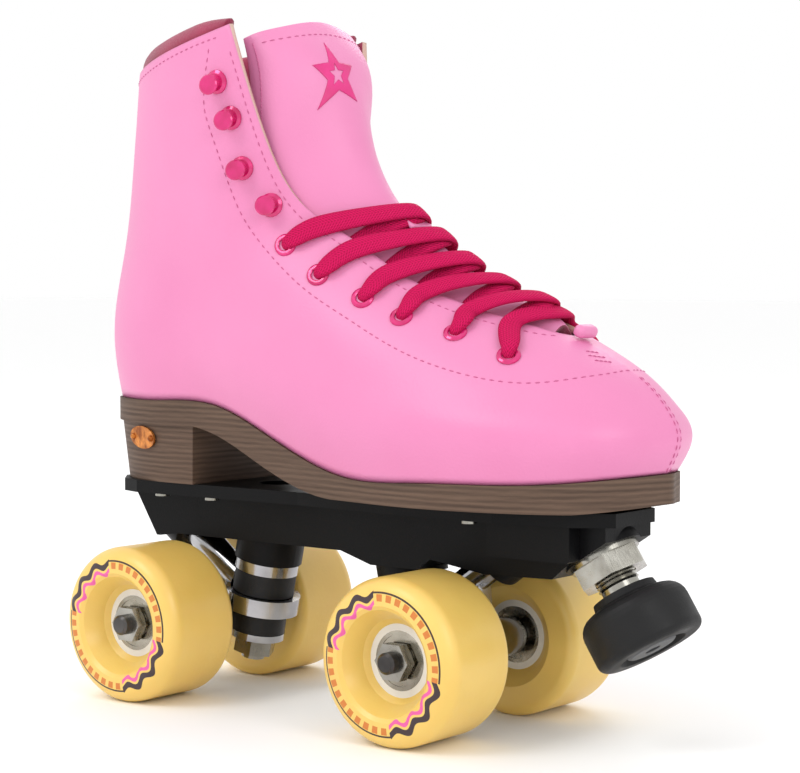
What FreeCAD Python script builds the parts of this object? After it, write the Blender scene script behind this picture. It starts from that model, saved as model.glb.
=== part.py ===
import FreeCAD, Part
import math
import os
import Sketcher

V = FreeCAD.Vector
doc = FreeCAD.newDocument("quad_skate")

# ---------------------------------------------------------------------------
# Driving dimensions, in millimetres and degrees.
# +X points to the toe, -Y is the outer side of the foot, Z = 0 is the floor.
# ---------------------------------------------------------------------------
DIMENSIONS = {
    # wheels, hubs and bearings
    "wheel_dia": 62, "wheel_wide": 37, "wheel_edge": 7, "wheel_back_edge": 4,
    "hub_dia": 27, "hub_wide": 21, "hub_set_in": 10.5, "dish_dia": 39, "dish_lip": 1.2, "hub_rib_bore": 16,
    "bearing_bore": 8, "bearing_dia": 22, "bearing_wide": 7, "ring_wall": 1.5, "ball_play": 0.05,
    "shield_thick": 0.5, "shield_inset": 0.3, "shield_gap": 0.3,
    # chassis
    "wheelbase": 135.5, "track": 77, "middle": -21.2, "deck_top": 86, "beam_half": 14.5, "flange_half": 28,
    "flange_thick": 5, "plate_rear": 105, "plate_nose": 138, "beam_low": 63.4, "boss_dia": 27.5,
    "pivot_boss_dia": 22, "screw_head_dia": 6, "screw_head": 1.6, "nose_half": 21.5, "nose_deep": 17,
    # trucks
    "ring_ahead": 26.5, "ring_rise": 6.5, "pin_tilt": 12, "pivot_slope": 35.6, "pivot_reach": 58,
    "pivot_face": 46, "pivot_pin_dia": 9, "pivot_cup_wall": 3.2, "pivot_cup_lip": 1, "running": 0.05,
    "yoke_dia": 31, "yoke_thick": 7, "yoke_bore": 16, "kingpin_dia": 9.5, "kingpin_tail": 24.5,
    "upper_cushion": 9.2, "upper_cushion_dia": 25, "lower_cushion": 8.6, "lower_cushion_dia": 22.5,
    "cup_thick": 4.6, "cup_dia": 26, "low_cup_thick": 2.8, "low_cup_dia": 23, "kingpin_nut": 7, "kingpin_nut_af": 15,
    "soft_gap": 0.3, "arm_dia": 12, "axle_tube_dia": 15, "axle_tube_half": 22, "shoulder_dia": 10.6,
    "axle_dia": 7.94, "axle_end": 55.5, "axle_nut": 4.4, "axle_nut_af": 13, "speed_ring": 0.8,
    # toe stop
    "stop_slope": 33, "stop_foot_x": 124.7, "stop_foot_z": 69.1, "stem_dia": 16, "stem_in": 9.5, "stem_hole": 14.4,
    "stem_pitch": 1.5,
    "stop_washer_dia": 26.6, "stop_washer": 1.8, "lock_nut_af": 24, "lock_nut": 7.6, "stop_gap": 6,
    "stop_dia": 41, "stop_tall": 23, "stop_neck_dia": 24, "stop_neck": 2.5, "stop_recess_dia": 32,
    "stop_recess": 2.3, "stop_cap_dia": 19, "stop_edge": 3.2, "stop_shoulder": 6.5,
    # sole, heel and boot
    "sole_welt": 1.0, "heel_top": 110, "heel_breast": 50, "heel_draft": 3, "insole_thick": 3,
    "boot_long": 266, "leather": 2.4, "lining": 3.0, "lining_proud": 8, "tongue_thick": 4,
    "eyelet_hole": 5.0, "eyelet_dia": 9.0, "eyelet_proud": 0.9, "hook_base_dia": 9.4, "hook_post_dia": 5, "hook_top_dia": 7.8,
    "hook_reach": 5.6,
    "lace_wide": 8, "lace_thick": 1.6, "fit_gap": 0.3,
}
sheet = doc.addObject("Spreadsheet::Sheet", "D")
for row, (alias, value) in enumerate(DIMENSIONS.items(), start=1):
    sheet.set("A%d" % row, str(value))
    sheet.setAlias("A%d" % row, alias)
doc.recompute()


def size(alias):
    """A driving dimension, read from the sheet."""
    return float(sheet.get(alias))


# ---------------------------------------------------------------------------
# Helpers: sketches whose corners are bound to the sheet, and features on them
# ---------------------------------------------------------------------------
def new_body(name):
    return doc.addObject("PartDesign::Body", name)


def bound_sketch(body, name, plane, corners):
    """A closed outline of straight runs. Each corner is a pair of expressions."""
    sketch = body.newObject("Sketcher::SketchObject", name)
    support = [f for f in body.Origin.OriginFeatures if f.Role == plane][0]
    sketch.AttachmentSupport = (support, [""])
    sketch.MapMode = "FlatFace"
    points = [V(float(sketch.evalExpression(a)), float(sketch.evalExpression(b)), 0) for a, b in corners]
    count = len(points)
    for i in range(count):
        sketch.addGeometry(Part.LineSegment(points[i], points[(i + 1) % count]))
    for i in range(count):
        sketch.addConstraint(Sketcher.Constraint("Coincident", i, 2, (i + 1) % count, 1))
    for i, corner in enumerate(corners):
        for kind, text, value in (("DistanceX", corner[0], points[i].x), ("DistanceY", corner[1], points[i].y)):
            if abs(value) < 1e-9:
                axis = -2 if kind == "DistanceX" else -1
                sketch.addConstraint(Sketcher.Constraint("PointOnObject", i, 1, axis))
            else:
                index = sketch.addConstraint(Sketcher.Constraint(kind, -1, 1, i, 1, value))
                sketch.setExpression("Constraints[%d]" % index, text)
    return sketch


def revolve(body, sketch):
    """Turns an outline about its vertical axis."""
    feature = body.newObject("PartDesign::Revolution", sketch.Name + "_turn")
    feature.Profile = (sketch, [""])
    feature.ReferenceAxis = (sketch, ["V_Axis"])
    feature.Angle = 360
    doc.recompute()
    return feature


def pad(body, sketch, length, kind="PartDesign::Pad"):
    """A pad, or a pocket, of the whole length, half to each side of its plane."""
    feature = body.newObject(kind, sketch.Name + "_run")
    feature.Profile = (sketch, [""])
    feature.setExpression("Length", length)
    feature.SideType = "Symmetric"
    doc.recompute()
    return feature


def ring_edges(shape, radius, height):
    """Names of the round edges of that radius, at that height along the turning axis (+Y)."""
    found = []
    for i, edge in enumerate(shape.Edges, start=1):
        if isinstance(edge.Curve, Part.Circle) and abs(edge.Curve.Radius - radius) < 0.01:
            if abs(edge.Curve.Center.y - height) < 0.01:
                found.append("Edge%d" % i)
    return found


def fillet(body, base, edges, radius):
    feature = body.newObject("PartDesign::Fillet", base.Name + "_round")
    feature.Base = (base, edges)
    feature.setExpression("Radius", radius)
    doc.recompute()
    return feature


def cylinder(name, radius, height, base=(0, 0, 0), turn=("0", (0, 1, 0))):
    """A cylinder with bound sizes and place: base holds expressions, and turn is an angle and its axis."""
    shape = doc.addObject("Part::Cylinder", name)
    shape.setExpression("Radius", str(radius))
    shape.setExpression("Height", str(height))
    place(shape, base, turn)
    return shape


def place(item, base, turn=None):
    """Moves an item to bound coordinates. A turn is never negative: the axis gives its sense."""
    if turn:
        item.Placement.Rotation = FreeCAD.Rotation(V(*turn[1]), float(item.evalExpression(turn[0])))
        if float(item.evalExpression(turn[0])) > 0:
            item.setExpression("Placement.Rotation.Angle", "(%s) * 1 deg" % turn[0])
    for axis, text in zip("xyz", base):
        item.setExpression("Placement.Base." + axis, "(%s) * 1 mm" % text)


def fuse(name, items):
    joined = doc.addObject("Part::MultiFuse", name)
    joined.Shapes = items
    joined.Refine = True
    return joined


def cut(name, base, tool):
    result = doc.addObject("Part::Cut", name)
    result.Base = base
    result.Tool = tool
    return result


def solid_feature(name, shape):
    """A piece whose shape is worked out in this script from the sheet's values."""
    item = doc.addObject("Part::Feature", name)
    item.Shape = shape
    return item


kept = []          # every sub-part that becomes a node


def keep(item, label):
    item.Label = label
    kept.append(item)
    return item


def group(label, items):
    """Several like pieces that share one node, each a separate solid."""
    joined = doc.addObject("Part::Compound", label + "_set")
    joined.Links = items
    return keep(joined, label)


# ---------------------------------------------------------------------------
# Wheels: a cast tyre on a moulded hub, with two ball bearings. All are turned about
# their axle (+Y) and measured outwards from the truck's centre line.
# ---------------------------------------------------------------------------
FACE = "(D.track + D.wheel_wide) / 2"                 # the tyre's outer face
BACK = "(D.track - D.wheel_wide) / 2"                 # the tyre's inner face
HUB_OUT = FACE + " - D.hub_set_in"
HUB_IN = HUB_OUT + " - D.hub_wide"


def tyre(name):
    body = new_body(name)
    outline = bound_sketch(body, name + "_outline", "XY_Plane", [
        ("D.hub_dia / 2", HUB_IN), ("D.hub_dia / 2 + 3", BACK + " + 2.5"), ("D.dish_dia / 2", BACK),
        ("D.wheel_dia / 2", BACK), ("D.wheel_dia / 2", FACE), ("D.dish_dia / 2 + 1.5", FACE),
        ("D.dish_dia / 2", FACE + " - D.dish_lip"), ("D.hub_dia / 2 + 2", HUB_OUT + " + 2"),
        ("D.hub_dia / 2", HUB_OUT)])
    turned = revolve(body, outline)
    rim = size("wheel_dia") / 2
    face = (size("track") + size("wheel_wide")) / 2
    rounded = fillet(body, turned, ring_edges(turned.Shape, rim, face), "D.wheel_edge")
    back = (size("track") - size("wheel_wide")) / 2
    fillet(body, rounded, ring_edges(rounded.Shape, rim, back), "D.wheel_back_edge")
    return body


def hub(name):
    body = new_body(name)
    seat = "D.bearing_dia / 2"
    inner_seat = HUB_IN + " + D.bearing_wide"
    outer_seat = HUB_OUT + " - D.bearing_wide"
    revolve(body, bound_sketch(body, name + "_outline", "XY_Plane", [
        (seat, HUB_IN), ("D.hub_dia / 2", HUB_IN), ("D.hub_dia / 2", HUB_OUT), (seat, HUB_OUT),
        (seat, outer_seat), ("D.hub_rib_bore / 2", outer_seat), ("D.hub_rib_bore / 2", inner_seat),
        (seat, inner_seat)]))
    return body


def bearing_shell(name, start):
    """The outer race with its two shields, from start outwards."""
    body = new_body(name)
    end = start + " + D.bearing_wide"
    race = "D.bearing_dia / 2 - D.ring_wall"
    lip = "D.bearing_bore / 2 + D.ring_wall + D.shield_gap"
    low_face, low_inside = start + " + D.shield_inset", start + " + D.shield_inset + D.shield_thick"
    high_face, high_inside = end + " - D.shield_inset", end + " - D.shield_inset - D.shield_thick"
    revolve(body, bound_sketch(body, name + "_outline", "XY_Plane", [
        ("D.bearing_dia / 2", start), ("D.bearing_dia / 2", end), (race, end), (race, high_face),
        (lip, high_face), (lip, high_inside), (race, high_inside), (race, low_inside), (lip, low_inside),
        (lip, low_face), (race, low_face), (race, start)]))
    return body


BALLS = 7
STARTS = (HUB_IN, HUB_OUT + " - D.bearing_wide")       # where each bearing begins


def bearing_balls(name):
    balls = []
    for index, start in enumerate(STARTS):
        for k in range(BALLS):
            ball = doc.addObject("Part::Sphere", "%s_%d_%d" % (name, index, k))
            ball.setExpression("Radius", "(D.bearing_dia - D.bearing_bore - 4 * D.ring_wall) / 4 - D.ball_play")
            orbit = "(D.bearing_dia + D.bearing_bore) / 4"
            turn = "%g deg" % (360.0 * k / BALLS)
            place(ball, ("%s * cos(%s)" % (orbit, turn), start + " + D.bearing_wide / 2",
                         "%s * sin(%s)" % (orbit, turn)))
            balls.append(ball)
    return balls


def seat_wheel_piece(item, end, side):
    """Moves a turned piece to its axle: end is -1 at the rear, side is -1 at the outer side."""
    place(item, ("D.middle + %d * D.wheelbase / 2" % end, 0, "D.wheel_dia / 2"),
          ("180" if side < 0 else "0", (0, 0, 1)))


ENDS = {"rear": -1, "front": 1}
SIDES = {"outer": -1, "inner": 1}
for end_name, end in ENDS.items():
    for side_name, side in SIDES.items():
        prefix = "wheel_%s_%s" % (end_name, side_name)
        for piece, make in (("tyre", tyre), ("hub", hub)):
            made = make(prefix + "_" + piece)
            seat_wheel_piece(made, end, side)
            keep(made, prefix + "_" + piece)
        shells = [bearing_shell("%s_shell%d" % (prefix, i), start) for i, start in enumerate(STARTS)]
        seat_wheel_piece(group(prefix + "_bearing_shells", shells), end, side)
        seat_wheel_piece(group(prefix + "_bearing_balls", bearing_balls(prefix + "_ball")), end, side)

# ---------------------------------------------------------------------------
# Trucks. Each is drawn as the rear one, measured from the middle of the wheelbase,
# and the front one is the same truck turned half round.
# ---------------------------------------------------------------------------
AXLE_X = "-D.wheelbase / 2"
AXLE_Z = "D.wheel_dia / 2"
YOKE_X = AXLE_X + " + D.ring_ahead"
YOKE_Z = AXLE_Z + " + D.ring_rise"


def along_pin(rise):
    """A point on the kingpin, that far above the yoke's centre."""
    return (YOKE_X + " + (%s) * sin(D.pin_tilt * 1 deg)" % rise, 0,
            YOKE_Z + " + (%s) * cos(D.pin_tilt * 1 deg)" % rise)


def along_pivot(reach):
    """A point on the steering axis, that far from the yoke's centre towards the pivot."""
    return (YOKE_X + " - (%s) * cos(D.pivot_slope * 1 deg)" % reach, 0,
            YOKE_Z + " + (%s) * sin(D.pivot_slope * 1 deg)" % reach)


PIN_TURN = ("D.pin_tilt", (0, 1, 0))
PIVOT_TURN = ("90 - D.pivot_slope", (0, -1, 0))        # a cylinder's own axis, laid along the steering axis


def pin_disc(name, dia, low, thick):
    """A disc or sleeve on the kingpin, from low upwards."""
    return cylinder(name, "(%s) / 2" % dia, thick, along_pin(low), PIN_TURN)


def pivot_rod(name, dia, low, length):
    return cylinder(name, "(%s) / 2" % dia, length, along_pivot(low), PIVOT_TURN)


def cross_rod(name, dia, low, length):
    """A rod on the axle's line, from low outwards along +Y."""
    rod = cylinder(name, "(%s) / 2" % dia, length)
    rod.Placement.Rotation = FreeCAD.Rotation(V(1, 0, 0), -90)
    place(rod, (AXLE_X, low, AXLE_Z))
    return rod


def hexagon(name, across_flats, height, bore):
    """A nut blank with its hole, standing on its own XY plane."""
    prism = doc.addObject("Part::Prism", name + "_blank")
    prism.Polygon = 6
    prism.setExpression("Circumradius", "(%s) / 2 / cos(30 deg)" % across_flats)
    prism.setExpression("Height", height)
    hole = cylinder(name + "_hole", "(%s) / 2" % bore, "(%s) + 2" % height, (0, 0, -1))
    return cut(name, prism, hole)


def turn_round(item, end):
    """Sets a truck piece at the rear or the front of the chassis."""
    place(item, ("D.middle", 0, 0), ("180" if end > 0 else "0", (0, 0, 1)))


HALF_YOKE = "D.yoke_thick / 2"


def hanger(name):
    """One casting: yoke round the kingpin, arm and pivot pin, web and axle tube."""
    yoke = pin_disc(name + "_yoke", "D.yoke_dia", "-" + HALF_YOKE, "D.yoke_thick")
    arm = pivot_rod(name + "_arm", "D.arm_dia", "D.yoke_dia / 2 - 2",
                    "D.pivot_face - D.pivot_cup_lip - D.fit_gap - D.yoke_dia / 2 + 2")
    pin = pivot_rod(name + "_pin", "D.pivot_pin_dia", "D.pivot_face - 4",
                    "D.pivot_reach - D.pivot_face + 4 - D.pivot_pin_dia / 2")
    tip = doc.addObject("Part::Sphere", name + "_tip")
    tip.setExpression("Radius", "D.pivot_pin_dia / 2")
    place(tip, along_pivot("D.pivot_reach - D.pivot_pin_dia / 2"))
    tube = cross_rod(name + "_tube", "D.axle_tube_dia", "-D.axle_tube_half", "2 * D.axle_tube_half")
    shoulder = cross_rod(name + "_shoulder", "D.shoulder_dia", "-(%s)" % HUB_IN, "2 * (%s)" % HUB_IN)
    web = new_body(name + "_web")
    pad(web, bound_sketch(web, name + "_web_outline", "XZ_Plane", [
        (AXLE_X + " - 6", AXLE_Z), (AXLE_X + " + 2", AXLE_Z + " - 6"), (YOKE_X + " - 10", YOKE_Z + " - 5.5"),
        (YOKE_X + " - 12", YOKE_Z + " + 4"), (YOKE_X + " - 22", YOKE_Z + " + 15"),
        (YOKE_X + " - 30", YOKE_Z + " + 20")]), "8")
    spread = new_body(name + "_spread")
    pad(spread, bound_sketch(spread, name + "_spread_outline", "XY_Plane", [
        (AXLE_X, "-D.axle_tube_half + 1"), (AXLE_X + " + 5", "-D.axle_tube_half + 1"), (YOKE_X + " - 6", "-13"),
        (YOKE_X + " - 6", "13"), (AXLE_X + " + 5", "D.axle_tube_half - 1"),
        (AXLE_X, "D.axle_tube_half - 1")]), "D.yoke_thick - 1")
    place(spread, (0, 0, "D.wheel_dia / 2 + D.ring_rise / 2"))
    casting = fuse(name + "_casting", [yoke, arm, pin, tip, tube, shoulder, web, spread])
    bore = pin_disc(name + "_bore", "D.yoke_bore", "-D.yoke_thick * 2", "D.yoke_thick * 4")
    room = pin_disc(name + "_room", "D.upper_cushion_dia + 2", HALF_YOKE, "30")
    under = pin_disc(name + "_under", "D.low_cup_dia + 2", "-" + HALF_YOKE + " - 20", "20")
    axle_hole = cross_rod(name + "_axle_hole", "D.bearing_bore", "-(%s) - 1" % HUB_IN, "2 * (%s) + 2" % HUB_IN)
    return cut(name, casting, fuse(name + "_cuts", [bore, room, under, axle_hole]))


def axle(name):
    """The steel axle, chamfered at both ends."""
    body = new_body(name)
    revolve(body, bound_sketch(body, name + "_outline", "XY_Plane", [
        ("0", "-D.axle_end"), ("D.axle_dia / 2 - 1", "-D.axle_end"), ("D.axle_dia / 2", "-D.axle_end + 1"),
        ("D.axle_dia / 2", "D.axle_end - 1"), ("D.axle_dia / 2 - 1", "D.axle_end"), ("0", "D.axle_end")]))
    return body


def sleeve(name, dia, bore, low, length):
    rod = cross_rod(name + "_rod", dia, low, length)
    hole = cross_rod(name + "_bore", bore, "(%s) - 1" % low, "(%s) + 2" % length)
    return cut(name, rod, hole)


def both_sides(name, dia, bore, low, length):
    """The same sleeve on each side of the truck."""
    return [sleeve(name + "_in", dia, bore, low, length),
            sleeve(name + "_out", dia, bore, "-(%s) - (%s)" % (low, length), length)]


RING_DIA = "D.bearing_bore + 2 * D.ring_wall"
for end_name, end in ENDS.items():
    turn_round(keep(hanger(end_name + "_hanger"), end_name + "_hanger"), end)
    rod = axle(end_name + "_axle")
    place(rod, ("D.middle + %d * D.wheelbase / 2" % end, 0, AXLE_Z))
    keep(rod, end_name + "_axle")
    rings = []
    for index, start in enumerate(STARTS):
        rings += both_sides("%s_ring%d" % (end_name, index), RING_DIA, "D.bearing_bore", start, "D.bearing_wide")
    turn_round(group(end_name + "_bearing_inner_rings", rings), end)
    spacers = both_sides(end_name + "_tube", RING_DIA, "D.bearing_bore", HUB_IN + " + D.bearing_wide",
                         "D.hub_wide - 2 * D.bearing_wide")
    spacers += both_sides(end_name + "_speed", "D.bearing_bore + 4.4", "D.bearing_bore", HUB_OUT, "D.speed_ring")
    turn_round(group(end_name + "_axle_spacers", spacers), end)
    nuts = []
    for side in (-1, 1):
        nut = hexagon("%s_nut%d" % (end_name, side > 0), "D.axle_nut_af", "D.axle_nut", "D.axle_dia")
        nut.Placement.Rotation = FreeCAD.Rotation(V(1, 0, 0), -90 * side)
        place(nut, (AXLE_X, "%d * (%s + D.speed_ring)" % (side, HUB_OUT), AXLE_Z))
        nuts.append(nut)
    turn_round(group(end_name + "_axle_nuts", nuts), end)


def pin_sleeve(name, dia, low, thick, bore="D.kingpin_dia"):
    """A ring on the kingpin: a washer, cup or cushion."""
    return cut(name, pin_disc(name + "_blank", dia, low, thick),
               pin_disc(name + "_hole", bore, "(%s) - 1" % low, "(%s) + 2" % thick))


UPPER_TOP = HALF_YOKE + " + D.soft_gap + D.upper_cushion"
LOWER_END = "-" + HALF_YOKE + " - D.soft_gap - D.lower_cushion"
CUP_TOP = UPPER_TOP + " + D.cup_thick"                 # where the chassis boss begins
NUT_LOW = LOWER_END + " - D.low_cup_thick - D.kingpin_nut"
cups, low_cups, kingpins, pin_nuts, pivot_cups = [], [], [], [], []
for end_name, end in ENDS.items():
    cups.append(pin_sleeve(end_name + "_cup", "D.cup_dia", UPPER_TOP, "D.cup_thick"))
    low_cups.append(pin_sleeve(end_name + "_low_cup", "D.low_cup_dia", LOWER_END + " - D.low_cup_thick",
                               "D.low_cup_thick"))
    # the bolt's head lies in the deck's pocket
    head = pin_disc(end_name + "_head", "D.kingpin_dia * 1.7", CUP_TOP + " + 17", "5.5")
    kingpins.append(fuse(end_name + "_kingpin", [
        pin_disc(end_name + "_shank", "D.kingpin_dia", "-D.kingpin_tail", "D.kingpin_tail + %s + 18" % CUP_TOP), head]))
    nut = hexagon(end_name + "_pin_nut", "D.kingpin_nut_af", "D.kingpin_nut", "D.kingpin_dia")
    place(nut, along_pin(NUT_LOW), PIN_TURN)
    pin_nuts.append(nut)
    sleeve_out = pivot_rod(end_name + "_cup_out", "D.pivot_pin_dia + 2 * D.pivot_cup_wall",
                           "D.pivot_face - D.pivot_cup_lip", "D.pivot_reach - D.pivot_face + D.pivot_cup_lip + 1")
    sleeve_in = fuse(end_name + "_cup_in", [
        pivot_rod(end_name + "_cup_bore", "D.pivot_pin_dia + 2 * D.running", "D.pivot_face - 5",
                  "D.pivot_reach - D.pivot_face + 5 - D.pivot_pin_dia / 2"),
        doc.addObject("Part::Sphere", end_name + "_cup_end")])
    ball = doc.getObject(end_name + "_cup_end")
    ball.setExpression("Radius", "D.pivot_pin_dia / 2 + D.running")
    place(ball, along_pivot("D.pivot_reach - D.pivot_pin_dia / 2"))
    pivot_cups.append(cut(end_name + "_pivot_cup", sleeve_out, sleeve_in))
    upper = pin_sleeve(end_name + "_upper_cushion", "D.upper_cushion_dia", HALF_YOKE + " + D.soft_gap",
                       "D.upper_cushion")
    lower = pin_sleeve(end_name + "_lower_cushion", "D.lower_cushion_dia", LOWER_END, "D.lower_cushion")
    turn_round(keep(upper, end_name + "_upper_cushion"), end)
    turn_round(keep(lower, end_name + "_lower_cushion"), end)


def front_and_rear(label, items):
    """One node for a fastener that both trucks have: the second is the first turned half round."""
    rear, front = items
    holder = doc.addObject("Part::Compound", label + "_front")
    holder.Links = [front]
    turn_round(holder, 1)
    rear_holder = doc.addObject("Part::Compound", label + "_rear")
    rear_holder.Links = [rear]
    turn_round(rear_holder, -1)
    return group(label, [rear_holder, holder])


front_and_rear("kingpin_top_washers", cups)
front_and_rear("kingpin_bottom_washers", low_cups)
front_and_rear("kingpins", kingpins)
front_and_rear("kingpin_nuts", pin_nuts)
front_and_rear("pivot_cups", pivot_cups)
doc.recompute()

# ---------------------------------------------------------------------------
# Chassis: one moulded deck with a deep beam, a boss for each kingpin and pivot, and a
# slanted nose that takes the toe stop.
# ---------------------------------------------------------------------------
def profile_pad(name, plane, corners, width):
    body = new_body(name)
    pad(body, bound_sketch(body, name + "_outline", plane, corners), width)
    return body


beam = profile_pad("beam", "XZ_Plane", [
    ("-D.plate_rear + 3", "D.deck_top - 1"), ("-D.plate_rear + 18", "62"), ("-85", "62"), ("-75", "D.beam_low"),
    ("13", "D.beam_low"), ("28", "59"), ("50", "59"), ("57", "D.beam_low"), ("82", "60"),
    ("112", "60.8"), ("D.plate_nose - 3", "80.3"), ("D.plate_nose - 3", "D.deck_top - 1")], "2 * D.beam_half")
deck = profile_pad("deck", "XY_Plane", [
    ("-D.plate_rear", "-14"), ("-D.plate_rear + 10", "-25"), ("-85", "-D.flange_half"),
    ("-50", "-D.flange_half + 1"), ("0", "-D.flange_half + 3"), ("50", "-D.flange_half"),
    ("95", "-D.flange_half"), ("D.plate_nose - 14", "-23"), ("D.plate_nose", "-13"),
    ("D.plate_nose", "13"), ("D.plate_nose - 14", "23"), ("95", "D.flange_half"), ("50", "D.flange_half"),
    ("0", "D.flange_half - 3"), ("-50", "D.flange_half - 1"), ("-85", "D.flange_half"),
    ("-D.plate_rear + 10", "25"), ("-D.plate_rear", "14")], "D.flange_thick")
place(deck, (0, 0, "D.deck_top - D.flange_thick / 2"))
solids = [beam, deck]
cuts = []
for end_name, end in ENDS.items():
    parts = [pin_disc(end_name + "_boss", "D.boss_dia", CUP_TOP, "29"),
             pivot_rod(end_name + "_pivot_boss", "D.pivot_boss_dia", "D.pivot_face - D.pivot_cup_lip", "17")]
    holder = fuse(end_name + "_bosses", parts)
    if end > 0:
        place(holder, (0, 0, 0), ("180", (0, 0, 1)))
    solids.append(holder)
    tools = [pin_disc(end_name + "_pin_hole", "D.kingpin_dia", CUP_TOP + " - 1", "40"),
             pin_disc(end_name + "_head_hole", "D.kingpin_dia * 1.7 + 1", CUP_TOP + " + 17", "20"),
             pivot_rod(end_name + "_cup_hole", "D.pivot_pin_dia + 2 * D.pivot_cup_wall",
                       "D.pivot_face - 5", "D.pivot_reach - D.pivot_face + 6"),
             pivot_rod(end_name + "_arm_room", "D.arm_dia + 6", "14", "D.pivot_face - D.pivot_cup_lip - 14")]
    holder = fuse(end_name + "_holes", tools)
    if end > 0:
        place(holder, (0, 0, 0), ("180", (0, 0, 1)))
    cuts.append(holder)

STOP_TURN = ("180 - D.stop_slope", (0, 1, 0))          # a cylinder's own axis, laid along the toe stop


def along_stop(reach):
    """A point on the toe stop's axis, that far out from the nose's face."""
    return ("D.stop_foot_x + (%s) * sin(D.stop_slope * 1 deg)" % reach, 0,
            "D.stop_foot_z - (%s) * cos(D.stop_slope * 1 deg)" % reach)


def stop_disc(name, dia, low, length):
    return cylinder(name, "(%s) / 2" % dia, length, along_stop(low), STOP_TURN)


for name, reach, half in (("nose_block", "14", "D.nose_half"), ("nose_end", "3", "D.nose_half - 6.5")):
    block = doc.addObject("Part::Box", name)
    block.setExpression("Length", "D.plate_nose - %s - 88" % reach)
    block.setExpression("Width", "2 * (%s)" % half)
    block.setExpression("Height", "D.nose_deep")
    place(block, ("88", "-(%s)" % half, "D.deck_top - 1 - D.nose_deep"))
    solids.append(block)
solids.append(stop_disc("nose_pad", "D.stop_washer_dia + 3", "-16", "16"))
cuts.append(stop_disc("nose_trim", "70", "0", "30"))
cuts.append(stop_disc("stem_room", "D.stem_dia + 2 * D.running", "-D.stem_hole", "D.stem_hole + 5"))
top_trim = doc.addObject("Part::Box", "top_trim")
top_trim.setExpression("Length", "400")
top_trim.setExpression("Width", "120")
top_trim.setExpression("Height", "40")
place(top_trim, ("-200", "-60", "D.deck_top"))
cuts.append(top_trim)
plate = cut("chassis_solid", fuse("chassis_blank", solids), fuse("chassis_cuts", cuts))
place(plate, ("D.middle", 0, 0))
keep(plate, "chassis_plate")

# screws that hold the deck to the sole, seen from below beside the beam
screws = []
for k, (x, y) in enumerate((("-78", "20"), ("-50", "20"), ("80", "21"))):
    for side in (-1, 1):
        head = doc.addObject("Part::Cylinder", "screw_%d_%d" % (k, side > 0))
        head.setExpression("Radius", "D.screw_head_dia / 2")
        head.setExpression("Height", "D.screw_head")
        place(head, ("D.middle + " + x, "%d * %s" % (side, y), "D.deck_top - D.flange_thick - D.screw_head"))
        screws.append(head)
group("plate_screws", screws)

# ---------------------------------------------------------------------------
# Toe stop: a rubber plug on a threaded stem, with its lock nut and washer
# ---------------------------------------------------------------------------
def stop_body(name, corners):
    """A turned piece on the toe stop's axis, measured outwards from the nose's face."""
    body = new_body(name)
    revolve(body, bound_sketch(body, name + "_outline", "XZ_Plane", corners))
    place(body, ("D.middle + D.stop_foot_x", 0, "D.stop_foot_z"), STOP_TURN)
    return body


RUBBER = "D.stop_washer + D.lock_nut + D.stop_gap"
STOP_END = RUBBER + " + D.stop_tall"
thread = []
for k in range(15):
    thread.append(("D.stem_dia / 2", "-D.stem_in + %g * D.stem_pitch" % (k + 0.25)))
    thread.append(("D.stem_dia / 2 - 0.7", "-D.stem_in + %g * D.stem_pitch" % (k + 0.75)))
keep(stop_body("stem", [("0", "-D.stem_in")] + [("D.stem_dia / 2 - 0.7", "-D.stem_in")] + thread + [
    ("D.stem_dia / 2 - 0.7", RUBBER + " + 8"), ("0", RUBBER + " + 8")]), "toe_stop_stem")
shoulder, edge = [], []
for angle in (0, 15, 30, 45, 60, 75, 90):
    out, along = 1 - math.sin(math.radians(angle)), 1 - math.cos(math.radians(angle))
    shoulder.append(("D.stop_dia / 2 - D.stop_shoulder * %.4f" % out,
                     RUBBER + " + D.stop_neck + 0.8 + D.stop_shoulder * %.4f" % along))
    edge.append(("D.stop_dia / 2 - D.stop_edge * %.4f" % along, STOP_END + " - D.stop_edge * %.4f" % out))
keep(stop_body("rubber", [("D.stem_dia / 2", RUBBER), ("D.stop_neck_dia / 2", RUBBER),
                          ("D.stop_neck_dia / 2 + 0.5", RUBBER + " + D.stop_neck")] + shoulder + edge + [
    ("D.stop_recess_dia / 2 - 3", STOP_END),
    ("D.stop_recess_dia / 2 - 3 - 1", STOP_END + " - D.stop_recess"), ("0", STOP_END + " - D.stop_recess"),
    ("0", RUBBER + " + 8"), ("D.stem_dia / 2", RUBBER + " + 8")]), "toe_stop_rubber")
keep(stop_body("cap", [
    ("3", STOP_END + " - D.stop_recess"), ("D.stop_cap_dia / 2", STOP_END + " - D.stop_recess"),
    ("D.stop_cap_dia / 2", STOP_END + " - D.stop_recess + 1.4"), ("D.stop_cap_dia / 2 - 1", STOP_END + " - D.stop_recess + 2"),
    ("3", STOP_END + " - D.stop_recess + 2")]), "toe_stop_cap")
BORE = "D.stem_dia / 2 + D.running"
keep(stop_body("washer", [(BORE, "0"), ("D.stop_washer_dia / 2", "0"), ("D.stop_washer_dia / 2", "D.stop_washer"),
                          (BORE, "D.stop_washer")]), "toe_stop_washer")
nut = hexagon("stop_nut", "D.lock_nut_af", "D.lock_nut", "D.stem_dia + 2 * D.running")
place(nut, ("D.middle + D.stop_foot_x + D.stop_washer * sin(D.stop_slope * 1 deg)", 0,
            "D.stop_foot_z - D.stop_washer * cos(D.stop_slope * 1 deg)"), STOP_TURN)
keep(nut, "toe_stop_lock_nut")

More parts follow.
